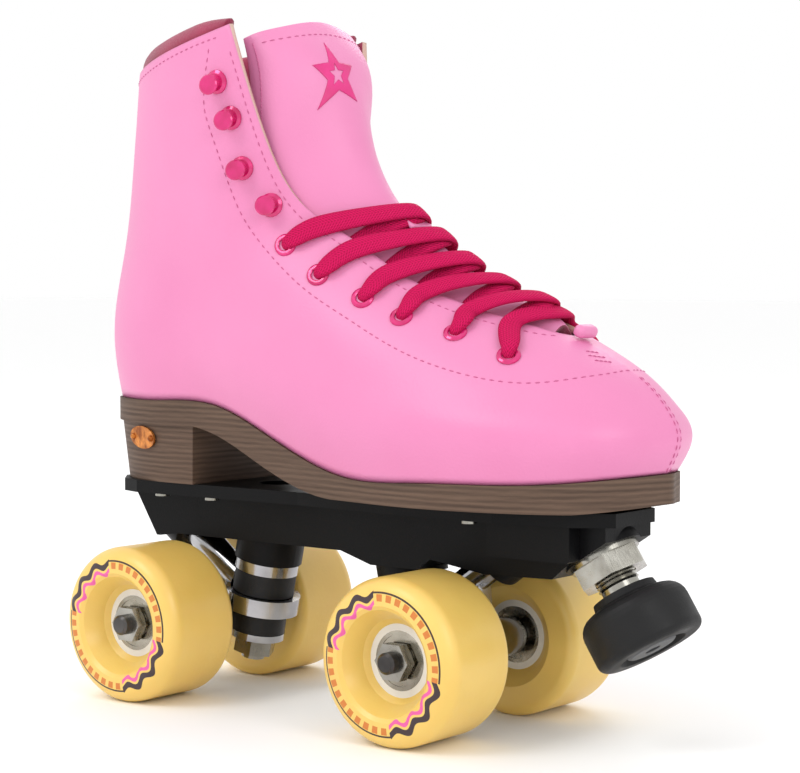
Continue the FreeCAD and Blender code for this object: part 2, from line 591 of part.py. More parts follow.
# ---------------------------------------------------------------------------
# Boot: one smooth skin, drawn through these sections. Each column runs from the sole's
# feather line up to the top edge, as (x, height, half width). The columns run from the
# toe seam along one side to the back seam, and the other side is the same, mirrored.
# ---------------------------------------------------------------------------
SECTIONS = [
    [(146.0, 99, 0.0), (150.5, 108, 0.0), (147.5, 121, 0.0), (133.0, 134.5, 0.0), (109, 147.5, 0.0)],
    [(136.5, 98, 23.0), (141.0, 108, 25.0), (137.5, 122, 21.5), (126.0, 136.0, 13.5), (105, 149.0, 7.5)],
    [(112.0, 96, 40.5), (114.0, 108, 43.5), (111.0, 124, 38.5), (104.0, 140.0, 26.0), (94, 152.5, 12.5)],
    [(72.0, 95, 46.0), (74.0, 108, 49.0), (74.0, 126, 45.0), (72.0, 145.0, 33.0), (68, 160.0, 15.5)],
    [(32.0, 95, 39.0), (33.0, 110, 43.0), (35.0, 132, 41.5), (37.0, 153.0, 34.0), (42, 171.5, 18.0)],
    [(-10.0, 108.5, 32.0), (-8.0, 122, 37.0), (-4.0, 147, 38.5), (4.0, 170.0, 34.5), (18, 187.0, 22.0)],
    [(-40.0, 119, 31.0), (-38.0, 134, 36.0), (-33.0, 162, 37.5), (-22.0, 190.0, 36.0), (-4, 208.0, 29.0)],
    [(-70.0, 119.5, 31.0), (-69.0, 137, 35.0), (-63.0, 175, 35.0), (-46.0, 222.0, 39.0), (-19.5, 266.0, 41.4)],
    [(-98.0, 119.5, 22.0), (-99.0, 140, 25.0), (-94.0, 178, 23.5), (-83.0, 220.0, 27.0), (-69, 256.0, 33.0)],
    [(-113.5, 119, 0.0), (-117.0, 141, 0.0), (-112.5, 180, 0.0), (-106.0, 216.0, 0.0), (-101.5, 251, 0.0)],
]
CORNER = 7                                             # the column that ends at the collar's front corner
ROWS = [0, 0.13, 0.4, 0.72, 1]                         # how far up the skin each row of a column lies


def lean_in(x):
    """How far the forefoot leans towards the big toe."""
    t = min(max((x + 20) / 170.0, 0), 1)
    return 8 * t * t * (3 - 2 * t)


def smooth_curve(knots, values):
    """A natural cubic through the values, as a function of the knot variable."""
    n = len(knots)
    gaps = [knots[i + 1] - knots[i] for i in range(n - 1)]
    above = [0.0] * n
    right = [0.0] * n
    for i in range(1, n - 1):
        slope = (values[i + 1] - values[i]) / gaps[i] - (values[i] - values[i - 1]) / gaps[i - 1]
        pivot = 2 * (gaps[i - 1] + gaps[i]) - gaps[i - 1] * above[i - 1]
        above[i] = gaps[i] / pivot
        right[i] = (6 * slope - gaps[i - 1] * right[i - 1]) / pivot
    bend = [0.0] * n
    for i in range(n - 2, 0, -1):
        bend[i] = right[i] - above[i] * bend[i + 1]

    def value(t):
        i = 0
        while i < n - 2 and t > knots[i + 1]:
            i += 1
        a = (knots[i + 1] - t) / gaps[i]
        b = (t - knots[i]) / gaps[i]
        bow = ((a ** 3 - a) * bend[i] + (b ** 3 - b) * bend[i + 1]) * gaps[i] ** 2 / 6
        return a * values[i] + b * values[i + 1] + bow
    return value


STRETCH = size("boot_long") / 266.0
COLUMNS = []
for side in (-1, 1):
    for column in (SECTIONS if side < 0 else SECTIONS[-2::-1]):
        COLUMNS.append([V(x * STRETCH, side * w + lean_in(x), z) for x, z, w in column])
KNOTS = [0.0]
for before, after in zip(COLUMNS, COLUMNS[1:]):
    KNOTS.append(KNOTS[-1] + before[2].distanceToPoint(after[2]))
CORNERS = (CORNER, len(COLUMNS) - 1 - CORNER)


def row_curve(row, axis):
    """One row of the skin. The top edge turns sharply at the collar's two front corners."""
    values = [getattr(column[row], axis) for column in COLUMNS]
    if row < len(ROWS) - 1:
        return smooth_curve(KNOTS, values)
    first, last = CORNERS
    pieces = [smooth_curve(KNOTS[a:b + 1], values[a:b + 1])
              for a, b in ((0, first), (first, last), (last, len(KNOTS) - 1))]

    def value(t):
        if t <= KNOTS[first]:
            return pieces[0](t)
        return pieces[1](t) if t <= KNOTS[last] else pieces[2](t)
    return value


ROW_CURVES = [[row_curve(row, axis) for axis in "xyz"] for row in range(len(ROWS))]


def skin(u, v):
    """A point of the boot's outside: u runs round the foot, v from the sole to the top edge."""
    rows = [[curve(u) for curve in curves] for curves in ROW_CURVES]
    return V(*[smooth_curve(ROWS, [row[k] for row in rows])(v) for k in range(3)])


def outward(u, v):
    step, rise = 1.0, 0.01
    along = skin(min(u + step, KNOTS[-1]), v) - skin(max(u - step, 0), v)
    up = skin(u, min(v + rise, 1)) - skin(u, max(v - rise, 0))
    return up.cross(along).normalize()


def under_skin(u, v, depth):
    """A point that far below the outside. At the two seams it stays in the seam's plane."""
    normal = outward(u, v)
    if v < 0.01:
        normal = V(normal.x, normal.y, 0).normalize()
    point = skin(u, v) - normal * depth
    if min(abs(u), abs(u - KNOTS[-1]), abs(u - KNOTS[9])) < 0.01:
        point.y = skin(u, v).y
    return point


def spread(low, high, count):
    return [low + (high - low) * k / (count - 1) for k in range(count)]


def section_wire(outside, inside):
    """A closed section: up the outside, over the edge, down the inside and back."""
    edges = []
    for points in (outside, inside[::-1]):
        curve = Part.BSplineCurve()
        curve.interpolate(points)
        edges.append(curve.toShape())
    edges.insert(1, Part.LineSegment(outside[-1], inside[-1]).toShape())
    edges.append(Part.LineSegment(inside[0], outside[0]).toShape())
    return Part.Wire(edges)


def slab(outside, inside):
    """A closed solid between two matching grids of points, drawn through one section for each row."""
    wires = [section_wire(a, b) for a, b in zip(outside, inside)]
    faces = list(Part.makeLoft(wires, False, False).Faces)
    for wire in (wires[0], wires[-1]):
        faces.append(Part.makeRuledSurface(wire.Edges[0], wire.Edges[2]))
    sewn = Part.makeCompound(faces)
    sewn.sewShape(0.01)
    solid = Part.makeSolid(sewn.Shells[0])
    if solid.Volume < 0:
        solid.reverse()
    return solid


LEATHER = size("leather")
GAP = size("fit_gap")
TOE, HEEL = KNOTS[0], KNOTS[9]
halves = {"outer": (TOE, HEEL), "inner": (HEEL, KNOTS[-1])}
for side_name, (low, high) in halves.items():
    around = spread(low, high, 37)
    up = spread(0.002, 1, 13)
    outside = [[under_skin(u, v, 0) for v in up] for u in around]
    inside = [[under_skin(u, v, LEATHER) for v in up] for u in around]
    keep(solid_feature("upper_" + side_name, slab(outside, inside)), "upper_" + side_name)

# padded lining: stands a little above the leather, round the back from corner to corner
LINING = size("lining")


def lining_point(u, t, depth):
    """t runs from the lining's lower edge, inside the boot, to its padded lip above the leather."""
    if t <= 0.5:
        return under_skin(u, 0.72 + 0.56 * t, LEATHER + GAP + depth)
    top, below = skin(u, 1), skin(u, 0.96)
    climb = (top - below).normalize()
    fade = min(1, (min(u - KNOTS[CORNERS[0]], KNOTS[CORNERS[1]] - u) - 4) / 14.0)
    rise = (t - 0.5) * 2 * size("lining_proud") * (0.25 + 0.75 * max(0, fade))
    roll = math.sin(min(1, (t - 0.5) * 2) * math.pi / 2) * 1.0
    return under_skin(u, 1, LEATHER + GAP + depth - roll * (1 - depth / LINING)) + climb * rise


around = spread(KNOTS[CORNERS[0]] + 4, KNOTS[CORNERS[1]] - 4, 41)
rise = spread(0, 1, 11)
keep(solid_feature("collar_lining", slab([[lining_point(u, t, 0) for t in rise] for u in around],
                                         [[lining_point(u, t, LINING) for t in rise] for u in around])),
     "collar_lining")

# ---------------------------------------------------------------------------
# Sole, heel and insole: cut to the foot's outline, with the top following the skin's foot
# ---------------------------------------------------------------------------
DECK_TOP = size("deck_top")
WELT = size("sole_welt")
HEEL_TOP = size("heel_top")


def foot_outline(growth):
    """The plan of the skin's foot, moved out or in by growth, as a closed curve at Z = 0."""
    points = []
    for u in spread(0, KNOTS[-1], 73)[:-1]:
        point, normal = skin(u, 0), outward(u, 0.02)
        normal.z = 0
        point = point + normal.normalize() * growth
        points.append(V(point.x, point.y, 0))
    curve = Part.BSplineCurve()
    curve.interpolate(points, PeriodicFlag=True)
    return curve


def foot_block(growth, low, high):
    face = Part.Face(Part.Wire([foot_outline(growth).toShape()]))
    face.translate(V(0, 0, low))
    return face.extrude(V(0, 0, high - low))


def side_block(top, bottom):
    """A slab across the foot between two lines seen from the side, each a list of (x, z)."""
    edges = []
    for line in (top, bottom):
        curve = Part.BSplineCurve()
        curve.interpolate([V(x, -70, z) for x, z in line])
        edges.append(curve.toShape())
    ends = [(top[0], bottom[0]), (top[-1], bottom[-1])]
    for (xa, za), (xb, zb) in ends:
        edges.append(Part.LineSegment(V(xa, -70, za), V(xb, -70, zb)).toShape())
    return Part.Face(Part.Wire(Part.__sortEdges__(edges))).extrude(V(0, 140, 0))


def foot_line(lift):
    """The skin's foot seen from the side, as (x, z) from heel to toe, run on level past both ends."""
    line = [skin(u, 0) for u in spread(HEEL, TOE, 50)]
    line = [(p.x, p.z + lift) for p in line]
    return [(line[0][0] - 14, line[0][1])] + line + [(line[-1][0] + 14, line[-1][1] + 1)]


HEEL_END = -size("heel_breast")
under = [(-128 * STRETCH, HEEL_TOP), (HEEL_END - 25, HEEL_TOP), (HEEL_END, HEEL_TOP), (-32, 105.2), (-15, 97.6),
         (5, 90), (20, 86.6), (30, DECK_TOP), (60, DECK_TOP), (100, DECK_TOP), (128, DECK_TOP),
         (145, DECK_TOP + 2), (162 * STRETCH, DECK_TOP + 5)]


def joined_runs(line):
    """The sole's underside: flat runs and one smooth run, as edges at the outer side."""
    edges = [Part.LineSegment(V(line[0][0], -70, line[0][1]), V(line[2][0], -70, line[2][1])).toShape()]
    arch = Part.BSplineCurve()
    arch.interpolate([V(x, -70, z) for x, z in line[2:8]])
    edges.append(arch.toShape())
    edges.append(Part.LineSegment(V(line[7][0], -70, line[7][1]), V(line[10][0], -70, line[10][1])).toShape())
    toe = Part.BSplineCurve()
    toe.interpolate([V(x, -70, z) for x, z in line[10:]])
    return edges + [toe.toShape()]


def sole_solid():
    top = Part.BSplineCurve()
    line = foot_line(0)
    top.interpolate([V(x, -70, z) for x, z in line])
    edges = joined_runs(under) + [top.toShape()]
    for one, other in ((line[0], under[0]), (line[-1], under[-1])):
        edges.append(Part.LineSegment(V(one[0], -70, one[1]), V(other[0], -70, other[1])).toShape())
    block = Part.Face(Part.Wire(Part.__sortEdges__(edges))).extrude(V(0, 140, 0))
    return block.common(foot_block(WELT, 60, 150))


keep(solid_feature("outsole", sole_solid()), "outsole")


def heel_wire(shrink, height, breast):
    """The heel's plan at one height: the skin's foot, drawn in a little, and cut square at the breast."""
    middle = -80 * STRETCH
    points = [skin(u, 0) for u in spread(KNOTS[6], KNOTS[12], 25)]
    points = [p for p in points if p.x < breast - 1]
    rim = [V(breast, points[0].y * shrink, height)]
    for p in points:
        rim.append(V(middle + (p.x - middle) * shrink if p.x < middle else p.x, p.y * shrink, height))
    rim.append(V(breast, points[-1].y * shrink, height))
    curve = Part.BSplineCurve()
    curve.interpolate(rim)
    return Part.Wire([curve.toShape(), Part.LineSegment(rim[-1], rim[0]).toShape()])


draft = size("heel_draft")
heel = Part.makeLoft([heel_wire(0.9, DECK_TOP, HEEL_END - draft), heel_wire(0.99, HEEL_TOP, HEEL_END)], True, True)
keep(solid_feature("heel_block", heel), "heel_block")

inset = LEATHER + GAP + 0.6
insole = side_block(foot_line(size("insole_thick")), foot_line(0.1)).common(foot_block(-inset, 60, 150))
keep(solid_feature("insole", insole), "insole")


def heel_wall(x, z):
    """Where the heel's outer side stands at that place."""
    ray = Part.makeLine(V(x, -80, z), V(x, 0, z)).common(heel)
    return V(x, ray.BoundBox.YMin, z)


# a small plain oval plate on the heel's outer side, held by two rivets
badge_at = heel_wall(-80, 104)
wall_x = heel_wall(-76, 104) - heel_wall(-84, 104)
wall_z = heel_wall(-80, 107) - heel_wall(-80, 101)
badge_out = wall_x.cross(wall_z).normalize()
if badge_out.y > 0:
    badge_out = badge_out * -1


def laid_on(shape, spot, out, along=V(1, 0, 0)):
    """Turns a shape drawn standing on XY so that it stands on a spot, facing out."""
    side = out.cross(along).normalize()
    front = side.cross(out)
    grid = FreeCAD.Matrix(front.x, side.x, out.x, spot.x, front.y, side.y, out.y, spot.y,
                          front.z, side.z, out.z, spot.z, 0, 0, 0, 1)
    return shape.transformed(grid)


oval = Part.Face(Part.Wire([Part.Ellipse(V(0, 0, 0), 8.7, 4.7).toShape()])).extrude(V(0, 0, 0.8))
keep(solid_feature("heel_badge", Part.makeCompound([laid_on(oval, badge_at + badge_out * 0.15, badge_out)])), "heel_badge")
rivets = []
for x in (-6.4, 6.4):
    head = Part.makeSphere(1.3, V(x, 0, 0)).common(Part.makeBox(20, 20, 3, V(-10, -10, 0)))
    head.translate(V(0, 0, 0.85))
    rivets.append(laid_on(head, badge_at + badge_out * 0.15, badge_out))
keep(solid_feature("badge_rivets", Part.makeCompound(rivets)), "badge_rivets")

# ---------------------------------------------------------------------------
# Tongue: a padded strip that rises between the facings and stands a little above the collar
# ---------------------------------------------------------------------------
CREST = [(103, 151.5), (94.5, 157), (70, 167), (48, 181.5), (27, 198.5), (13, 222), (6, 247)]
BELOW = LEATHER + GAP + 1.0
TONGUE = size("tongue_thick")
LACED = KNOTS[1:7]                                     # the columns where the facings cover the tongue's edges


def mirror_u(u):
    return KNOTS[-1] - u


def crest(k):
    x, z = CREST[k]
    return V(x * STRETCH, lean_in(x), z)


sections = []
for k, u in enumerate(LACED):
    near = [under_skin(u, v, BELOW) for v in (0.88, 0.94, 1)]
    far = [under_skin(mirror_u(u), v, BELOW) for v in (1, 0.94, 0.88)]
    sections.append(near + [crest(k)] + far)
# above the lacing it stands free, a little askew: near edge, crest, far edge
FREE = [((-20, -29, 240), (6, 247), (-13, 29, 241)), ((-25, -28, 262), (-9.5, 270), (-17, 28, 264))]
BULGE = ((1, 1, 0), (0.6, 0.92, 0.3), (0.25, 0.66, 0.6))
for near, (xc, zc), far in FREE:
    half = [[V((x * a + xc * (1 - a)) * STRETCH, y * b, z * (1 - c) + zc * c) for a, b, c in BULGE]
            for x, y, z in (near, far)]
    sections.append(half[0] + [V(xc * STRETCH, 0, zc)] + half[1][::-1])


def across_points(section, count):
    ways = [0, 0.12, 0.25, 0.5, 0.75, 0.88, 1]
    curves = [smooth_curve(ways, [getattr(p, a) for p in section]) for a in "xyz"]
    return [V(*[curve(q) for curve in curves]) for q in spread(0, 1, count)]


tongue_top = [across_points(section, 13) for section in sections]
tongue_under = []
for i, row in enumerate(tongue_top):
    ahead, behind = tongue_top[min(i + 1, len(tongue_top) - 1)], tongue_top[max(i - 1, 0)]
    lower = []
    for j, point in enumerate(row):
        across = row[min(j + 1, 12)] - row[max(j - 1, 0)]
        normal = across.cross(ahead[j] - behind[j]).normalize()
        lower.append(point - normal * TONGUE * (1 if normal.z > 0 or normal.x > 0 else -1))
    tongue_under.append(lower)
keep(solid_feature("tongue", slab(tongue_top, tongue_under)), "tongue")

# ---------------------------------------------------------------------------
# Lacing: six eyelets and four hooks a side, and a flat lace across the throat at each
# ---------------------------------------------------------------------------
EYELETS = [(63.4, 0.72), (89.2, 0.805), (116.2, 0.814), (138.5, 0.822), (164.3, 0.797), (186.6, 0.822)]
HOOKS = [(203, 0.898), (217, 0.864), (228, 0.898), (237, 0.898)]


def station(u, v, side):
    """A place on the facing, with its outward direction and the direction towards the throat."""
    u = u if side < 0 else mirror_u(u)
    return skin(u, v), outward(u, v), (skin(u, min(v + 0.05, 1)) - skin(u, v - 0.05)).normalize()


def eyelet():
    rim = size("eyelet_dia") / 2
    hole = size("eyelet_hole") / 2
    proud = size("eyelet_proud")
    outline = Part.makePolygon([V(hole, 0, 0), V(rim, 0, 0), V(rim - 0.2, 0, proud * 0.6), V(rim - 0.9, 0, proud),
                                V(hole + 0.4, 0, proud), V(hole, 0, proud * 0.7), V(hole, 0, 0)])
    return Part.Face(outline).revolve(V(0, 0, 0), V(0, 0, 1), 360)


def hook():
    """A riveted base, a short post and a round plate, set back from the throat."""
    rim, reach = size("hook_base_dia") / 2, size("hook_reach")
    outline = Part.makePolygon([V(0, 0, 0), V(rim, 0, 0), V(rim - 0.1, 0, 0.6), V(rim - 1.2, 0, 1.3),
                                V(0, 0, 1.3), V(0, 0, 0)])
    base = Part.Face(outline).revolve(V(0, 0, 0), V(0, 0, 1), 360)
    post = Part.makeCylinder(size("hook_post_dia") / 2, reach - 1.4, V(0.4, 0, 0.6))
    rim = size("hook_top_dia") / 2
    outline = Part.makePolygon([V(0, 0, -1.5), V(rim - 0.6, 0, -1.5), V(rim, 0, -1.0), V(rim, 0, -0.4),
                                V(rim - 0.5, 0, 0), V(0, 0, 0), V(0, 0, -1.5)])
    top = Part.Face(outline).revolve(V(0, 0, 0), V(0, 0, 1), 360)
    top.rotate(V(0, 0, 0), V(0, 1, 0), 12)
    top.translate(V(-0.9, 0, reach))
    return base.fuse([post, top]).removeSplitter()


for side_name, side in SIDES.items():
    for label, places, make in (("eyelets_", EYELETS, eyelet), ("hooks_", HOOKS, hook)):
        shapes = []
        for u, v in places:
            spot, out, up = station(u, v, side)
            shapes.append(laid_on(make(), spot + out * 0.12, out, up))
        keep(solid_feature(label + side_name, Part.makeCompound(shapes)), label + side_name)


def lace_bar(u, v):
    """A flat lace from one side's eyelet over the tongue to the other side's."""
    wide, thick = size("lace_wide"), size("lace_thick")
    columns = KNOTS[1:len(CREST) + 1]
    k = 0
    while k < len(columns) - 2 and u > columns[k + 1]:
        k += 1
    part = (u - columns[k]) / (columns[k + 1] - columns[k])
    top = crest(k) * (1 - part) + crest(k + 1) * part
    way = (crest(k + 1) - crest(k)).normalize()
    lift = V(-way.z, 0, way.x) if way.x > 0 else V(way.z, 0, -way.x)
    lift = lift if lift.z > 0 else lift * -1
    line = []
    for side in (-1, 1):
        spot, out, up = station(u, v, side)
        edge_u = u if side < 0 else mirror_u(u)
        rim, rim_out = skin(edge_u, 1), outward(edge_u, 0.99)
        pair = [(spot + up * 6 + out * 0.5, out), (rim + rim_out * 1.0, rim_out)]
        line.append(pair if side < 0 else pair[::-1])
    line = line[0] + [(top + lift * 1.6, lift)] + line[1]
    ways = [0, 0.25, 0.5, 0.75, 1]
    curves = [smooth_curve(ways, [getattr(p, a) for p, _ in line]) for a in "xyz"]
    lifts = [smooth_curve(ways, [getattr(n, a) for _, n in line]) for a in "xyz"]
    above, below = [], []
    for q in spread(0, 1, 9):
        point = V(*[c(q) for c in curves])
        out = V(*[c(q) for c in lifts]).normalize()
        run = V(*[c(min(q + 0.02, 1)) - c(max(q - 0.02, 0)) for c in curves])
        side_way = run.cross(out).normalize()
        row = [point + side_way * (wide * t) for t in (-0.5, 0, 0.5)]
        above.append([p + out * thick for p in row])
        below.append(row)
    return slab(above, below)


bars = [lace_bar(u, v) for u, v in EYELETS]
keep(solid_feature("lace", Part.makeCompound(bars)), "lace")

# keeper on the tongue's crest, and the rolled tab at the foot of the throat
way = (crest(4) - crest(3)).normalize()
lift = V(-way.z, 0, way.x)
lift = lift if lift.z > 0 else lift * -1
strap = Part.makeBox(6.5, 12, 1.2, V(-3.2, -6, 0))
spot = crest(3) * 0.57 + crest(4) * 0.43 + lift * 0.9
keep(solid_feature("tongue_loop", Part.makeCompound([laid_on(strap, spot, lift, way)])), "tongue_loop")
tab = Part.makeCylinder(2.6, 11, V(112 * STRETCH, lean_in(112) - 5.5, 149.3), V(0, 1, 0))
keep(solid_feature("throat_tab", tab), "throat_tab")

# ---------------------------------------------------------------------------
# The boot is drawn from the middle of the wheelbase; this moves it to the skate's own centre
# ---------------------------------------------------------------------------
MIDDLE = size("middle")
BOOT = ["upper_outer", "upper_inner", "collar_lining", "outsole", "heel_block", "insole", "heel_badge", "badge_rivets",
        "tongue", "eyelets_outer", "eyelets_inner", "hooks_outer", "hooks_inner", "lace", "tongue_loop", "throat_tab"]
for item in kept:
    if item.Label in BOOT:
        item.setExpression("Placement.Base.x", "D.middle * 1 mm")
doc.recompute()

# ---------------------------------------------------------------------------
# Check every object, then write one file for each sub-part
# ---------------------------------------------------------------------------
for item in doc.Objects:
    if "Invalid" in item.State or "Error" in item.State:
        raise ValueError("%s didn't compute" % item.Label)
for item in kept:
    if item.Shape.isNull() or not item.Shape.isValid() or item.Shape.Volume <= 0:
        raise ValueError("%s has no valid solid" % item.Label)
os.makedirs("parts", exist_ok=True)
for item in kept:
    item.Shape.exportStep("parts/%s.step" % item.Label)
print(len(kept), "sub-parts written")
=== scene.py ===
import math

import bpy
import numpy as np
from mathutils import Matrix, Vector


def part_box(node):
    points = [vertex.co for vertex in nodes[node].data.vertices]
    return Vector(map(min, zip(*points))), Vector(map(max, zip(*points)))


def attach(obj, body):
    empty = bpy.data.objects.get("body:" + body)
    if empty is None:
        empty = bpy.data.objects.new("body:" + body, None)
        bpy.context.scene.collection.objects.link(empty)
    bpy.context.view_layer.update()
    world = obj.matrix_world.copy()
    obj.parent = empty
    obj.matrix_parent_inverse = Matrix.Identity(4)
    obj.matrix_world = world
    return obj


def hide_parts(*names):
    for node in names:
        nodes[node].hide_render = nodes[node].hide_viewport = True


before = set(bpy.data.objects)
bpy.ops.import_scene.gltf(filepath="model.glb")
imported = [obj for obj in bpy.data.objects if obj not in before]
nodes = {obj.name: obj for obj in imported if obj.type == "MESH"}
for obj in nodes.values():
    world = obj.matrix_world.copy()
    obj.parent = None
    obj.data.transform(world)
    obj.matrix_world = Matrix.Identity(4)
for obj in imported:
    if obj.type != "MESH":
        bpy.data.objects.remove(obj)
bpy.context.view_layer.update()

scene = bpy.context.scene

# Camera and studio. A long lens looks at the skate's outer side from ahead of the toe, a little
# above wheel height. The floor is a pale sheet, under one large soft lamp and two fill lamps.
MM = 0.001
MIDDLE = -21.2                       # the wheelbase's middle, in millimetres from the skate's centre


def at(x, y, z):
    """A point measured in millimetres from the middle of the wheelbase, in the skate's frame."""
    return Vector(((x + MIDDLE) * MM, y * MM, z * MM))


camera = bpy.data.objects.new("camera", bpy.data.cameras.new("camera"))
scene.collection.objects.link(camera)
camera.location = at(533.5, -633.5, 167.8)
camera.rotation_euler = (at(31, 0, 127) - camera.location).to_track_quat("-Z", "Y").to_euler()
camera.data.lens = 94.3
camera.data.sensor_width = 36
camera.data.clip_end = 50
scene.camera = camera
scene.view_settings.view_transform = "Standard"


def soft_lamp(name, spot, aim, size, power):
    lamp = bpy.data.objects.new(name, bpy.data.lights.new(name, "AREA"))
    lamp.data.shape = "SQUARE"
    lamp.data.size = size
    lamp.data.energy = power
    lamp.location = spot
    lamp.rotation_euler = (Vector(aim) - Vector(spot)).to_track_quat("-Z", "Y").to_euler()
    scene.collection.objects.link(lamp)


soft_lamp("lamp_key", (-0.5, -1.3, 1.5), (0, 0, 0.12), 0.8, 10)
soft_lamp("lamp_front", (1.4, -0.5, 0.9), (0, 0, 0.12), 0.7, 4.5)
soft_lamp("lamp_back", (-0.6, 1.3, 1.1), (0, 0, 0.15), 0.7, 4)
world = bpy.data.worlds.new("studio_air")
world.use_nodes = True
world.node_tree.nodes["Background"].inputs["Color"].default_value = (1, 1, 1, 1)
world.node_tree.nodes["Background"].inputs["Strength"].default_value = 1.0
scene.world = world

bpy.ops.object.select_all(action="DESELECT")
bpy.ops.mesh.primitive_plane_add(size=30, location=(0, 0, 0))
floor = bpy.context.object
floor.name = "floor"
paper = bpy.data.materials.new("studio_paper")
paper.use_nodes = True
paper.node_tree.nodes["Principled BSDF"].inputs["Base Color"].default_value = (0.985, 0.985, 0.985, 1)
paper.node_tree.nodes["Principled BSDF"].inputs["Roughness"].default_value = 0.7
floor.data.materials.append(paper)

# Boot upper. Smooth coated leather, lasted over the foot in one skin and open down the throat.
# Its raw edges are cream, and a rose cloth backs it inside.
# Each column runs from the sole's feather line to the top edge, as (x, height, half width).
SECTIONS = [
    [(146, 99, 0), (150.5, 108, 0), (147.5, 121, 0), (133, 134.5, 0), (109, 147.5, 0)],
    [(136.5, 98, 23), (141, 108, 25), (137.5, 122, 21.5), (126, 136, 13.5), (105, 149, 7.5)],
    [(112, 96, 40.5), (114, 108, 43.5), (111, 124, 38.5), (104, 140, 26), (94, 152.5, 12.5)],
    [(72, 95, 46), (74, 108, 49), (74, 126, 45), (72, 145, 33), (68, 160, 15.5)],
    [(32, 95, 39), (33, 110, 43), (35, 132, 41.5), (37, 153, 34), (42, 171.5, 18)],
    [(-10, 108.5, 32), (-8, 122, 37), (-4, 147, 38.5), (4, 170, 34.5), (18, 187, 22)],
    [(-40, 119, 31), (-38, 134, 36), (-33, 162, 37.5), (-22, 190, 36), (-4, 208, 29)],
    [(-70, 119.5, 31), (-69, 137, 35), (-63, 175, 35), (-46, 222, 39), (-19.5, 266, 41.4)],
    [(-98, 119.5, 22), (-99, 140, 25), (-94, 178, 23.5), (-83, 220, 27), (-69, 256, 33)],
    [(-113.5, 119, 0), (-117, 141, 0), (-112.5, 180, 0), (-106, 216, 0), (-101.5, 251, 0)],
]
ROWS = np.array([0, 0.13, 0.4, 0.72, 1])
LEATHER = 2.4


def lean_in(x):
    """How far the forefoot leans towards the big toe."""
    t = np.clip((np.asarray(x, float) + 20) / 170.0, 0, 1)
    return 8 * t * t * (3 - 2 * t)


def natural(knots, values):
    """A natural cubic through values, one set for each knot, read at many places at once."""
    knots, values = np.asarray(knots, float), np.asarray(values, float)
    n = len(knots)
    gap = np.diff(knots)
    table = np.eye(n)
    right = np.zeros_like(values)
    for i in range(1, n - 1):
        table[i, i - 1:i + 2] = gap[i - 1], 2 * (gap[i - 1] + gap[i]), gap[i]
        right[i] = 6 * ((values[i + 1] - values[i]) / gap[i] - (values[i] - values[i - 1]) / gap[i - 1])
    bend = np.linalg.solve(table, right.reshape(n, -1)).reshape(values.shape)

    def read(places, own=False):
        places = np.asarray(places, float)
        i = np.clip(np.searchsorted(knots, places) - 1, 0, n - 2)
        a = (knots[i + 1] - places) / gap[i]
        b = 1 - a
        if own:                                        # each place reads its own column of values
            k = np.arange(len(places))
            low, high, bow, bow2 = values[i, k], values[i + 1, k], bend[i, k], bend[i + 1, k]
        else:
            low, high, bow, bow2 = values[i], values[i + 1], bend[i], bend[i + 1]
        a, b, g = a[:, None], b[:, None], gap[i][:, None]
        return a * low + b * high + ((a ** 3 - a) * bow + (b ** 3 - b) * bow2) * g * g / 6
    return read


columns = []
for side in (-1, 1):
    for column in (SECTIONS if side < 0 else SECTIONS[-2::-1]):
        columns.append([(x, side * w + float(lean_in(x)), z) for x, z, w in column])
columns = np.array(columns)
KNOTS = np.concatenate([[0], np.cumsum(np.linalg.norm(np.diff(columns[:, 2], axis=0), axis=1))])
END = KNOTS[-1]
row_readers = [natural(KNOTS, columns[:, row]) for row in range(4)]
NEAR, FAR = 7, 11                                      # columns at the collar's two front corners
edge_readers = [natural(KNOTS[a:b + 1], columns[a:b + 1, 4]) for a, b in ((0, NEAR), (NEAR, FAR), (FAR, 18))]


def skin(u, v):
    """Points of the boot's outside: u runs round the foot, v from the sole to the top edge."""
    u, v = np.broadcast_arrays(np.atleast_1d(np.asarray(u, float)), np.atleast_1d(np.asarray(v, float)))
    u, v = u.copy() % (END + 1e-9), v.copy()
    top = np.where(u[:, None] <= KNOTS[NEAR], edge_readers[0](u), edge_readers[1](u))
    top = np.where(u[:, None] <= KNOTS[FAR], top, edge_readers[2](u))
    rows = np.array([reader(u) for reader in row_readers] + [top])
    return natural(ROWS, rows)(v, own=True)


def outward(u, v):
    u, v = np.atleast_1d(np.asarray(u, float)), np.atleast_1d(np.asarray(v, float))
    along = skin(np.minimum(u + 1, END), v) - skin(np.maximum(u - 1, 0), v)
    up = skin(u, np.minimum(v + 0.01, 1)) - skin(u, np.maximum(v - 0.01, 0))
    normal = np.cross(up, along)
    return normal / np.linalg.norm(normal, axis=1)[:, None]


def mesh_piece(name, points, faces, materials=()):
    """A new piece from points in millimetres measured from the wheelbase's middle."""
    points = np.asarray(points, float).reshape(-1, 3)
    mesh = bpy.data.meshes.new(name)
    mesh.from_pydata([tuple(at(*p)) for p in points], [], [tuple(int(i) for i in f) for f in faces])
    mesh.update()
    for polygon in mesh.polygons:
        polygon.use_smooth = True
    piece = bpy.data.objects.new(name, mesh)
    scene.collection.objects.link(piece)
    for material in materials:
        mesh.materials.append(material)
    return piece


def grid_faces(rows, across, ring=False, flip=False):
    """Quads of a grid of points, row after row. A ring joins the last row to the first."""
    faces = []
    for i in range(rows if ring else rows - 1):
        for j in range(across - 1):
            a, b = i * across + j, ((i + 1) % rows) * across + j
            faces.append((a, b, b + 1, a + 1) if flip else (a, a + 1, b + 1, b))
    return faces


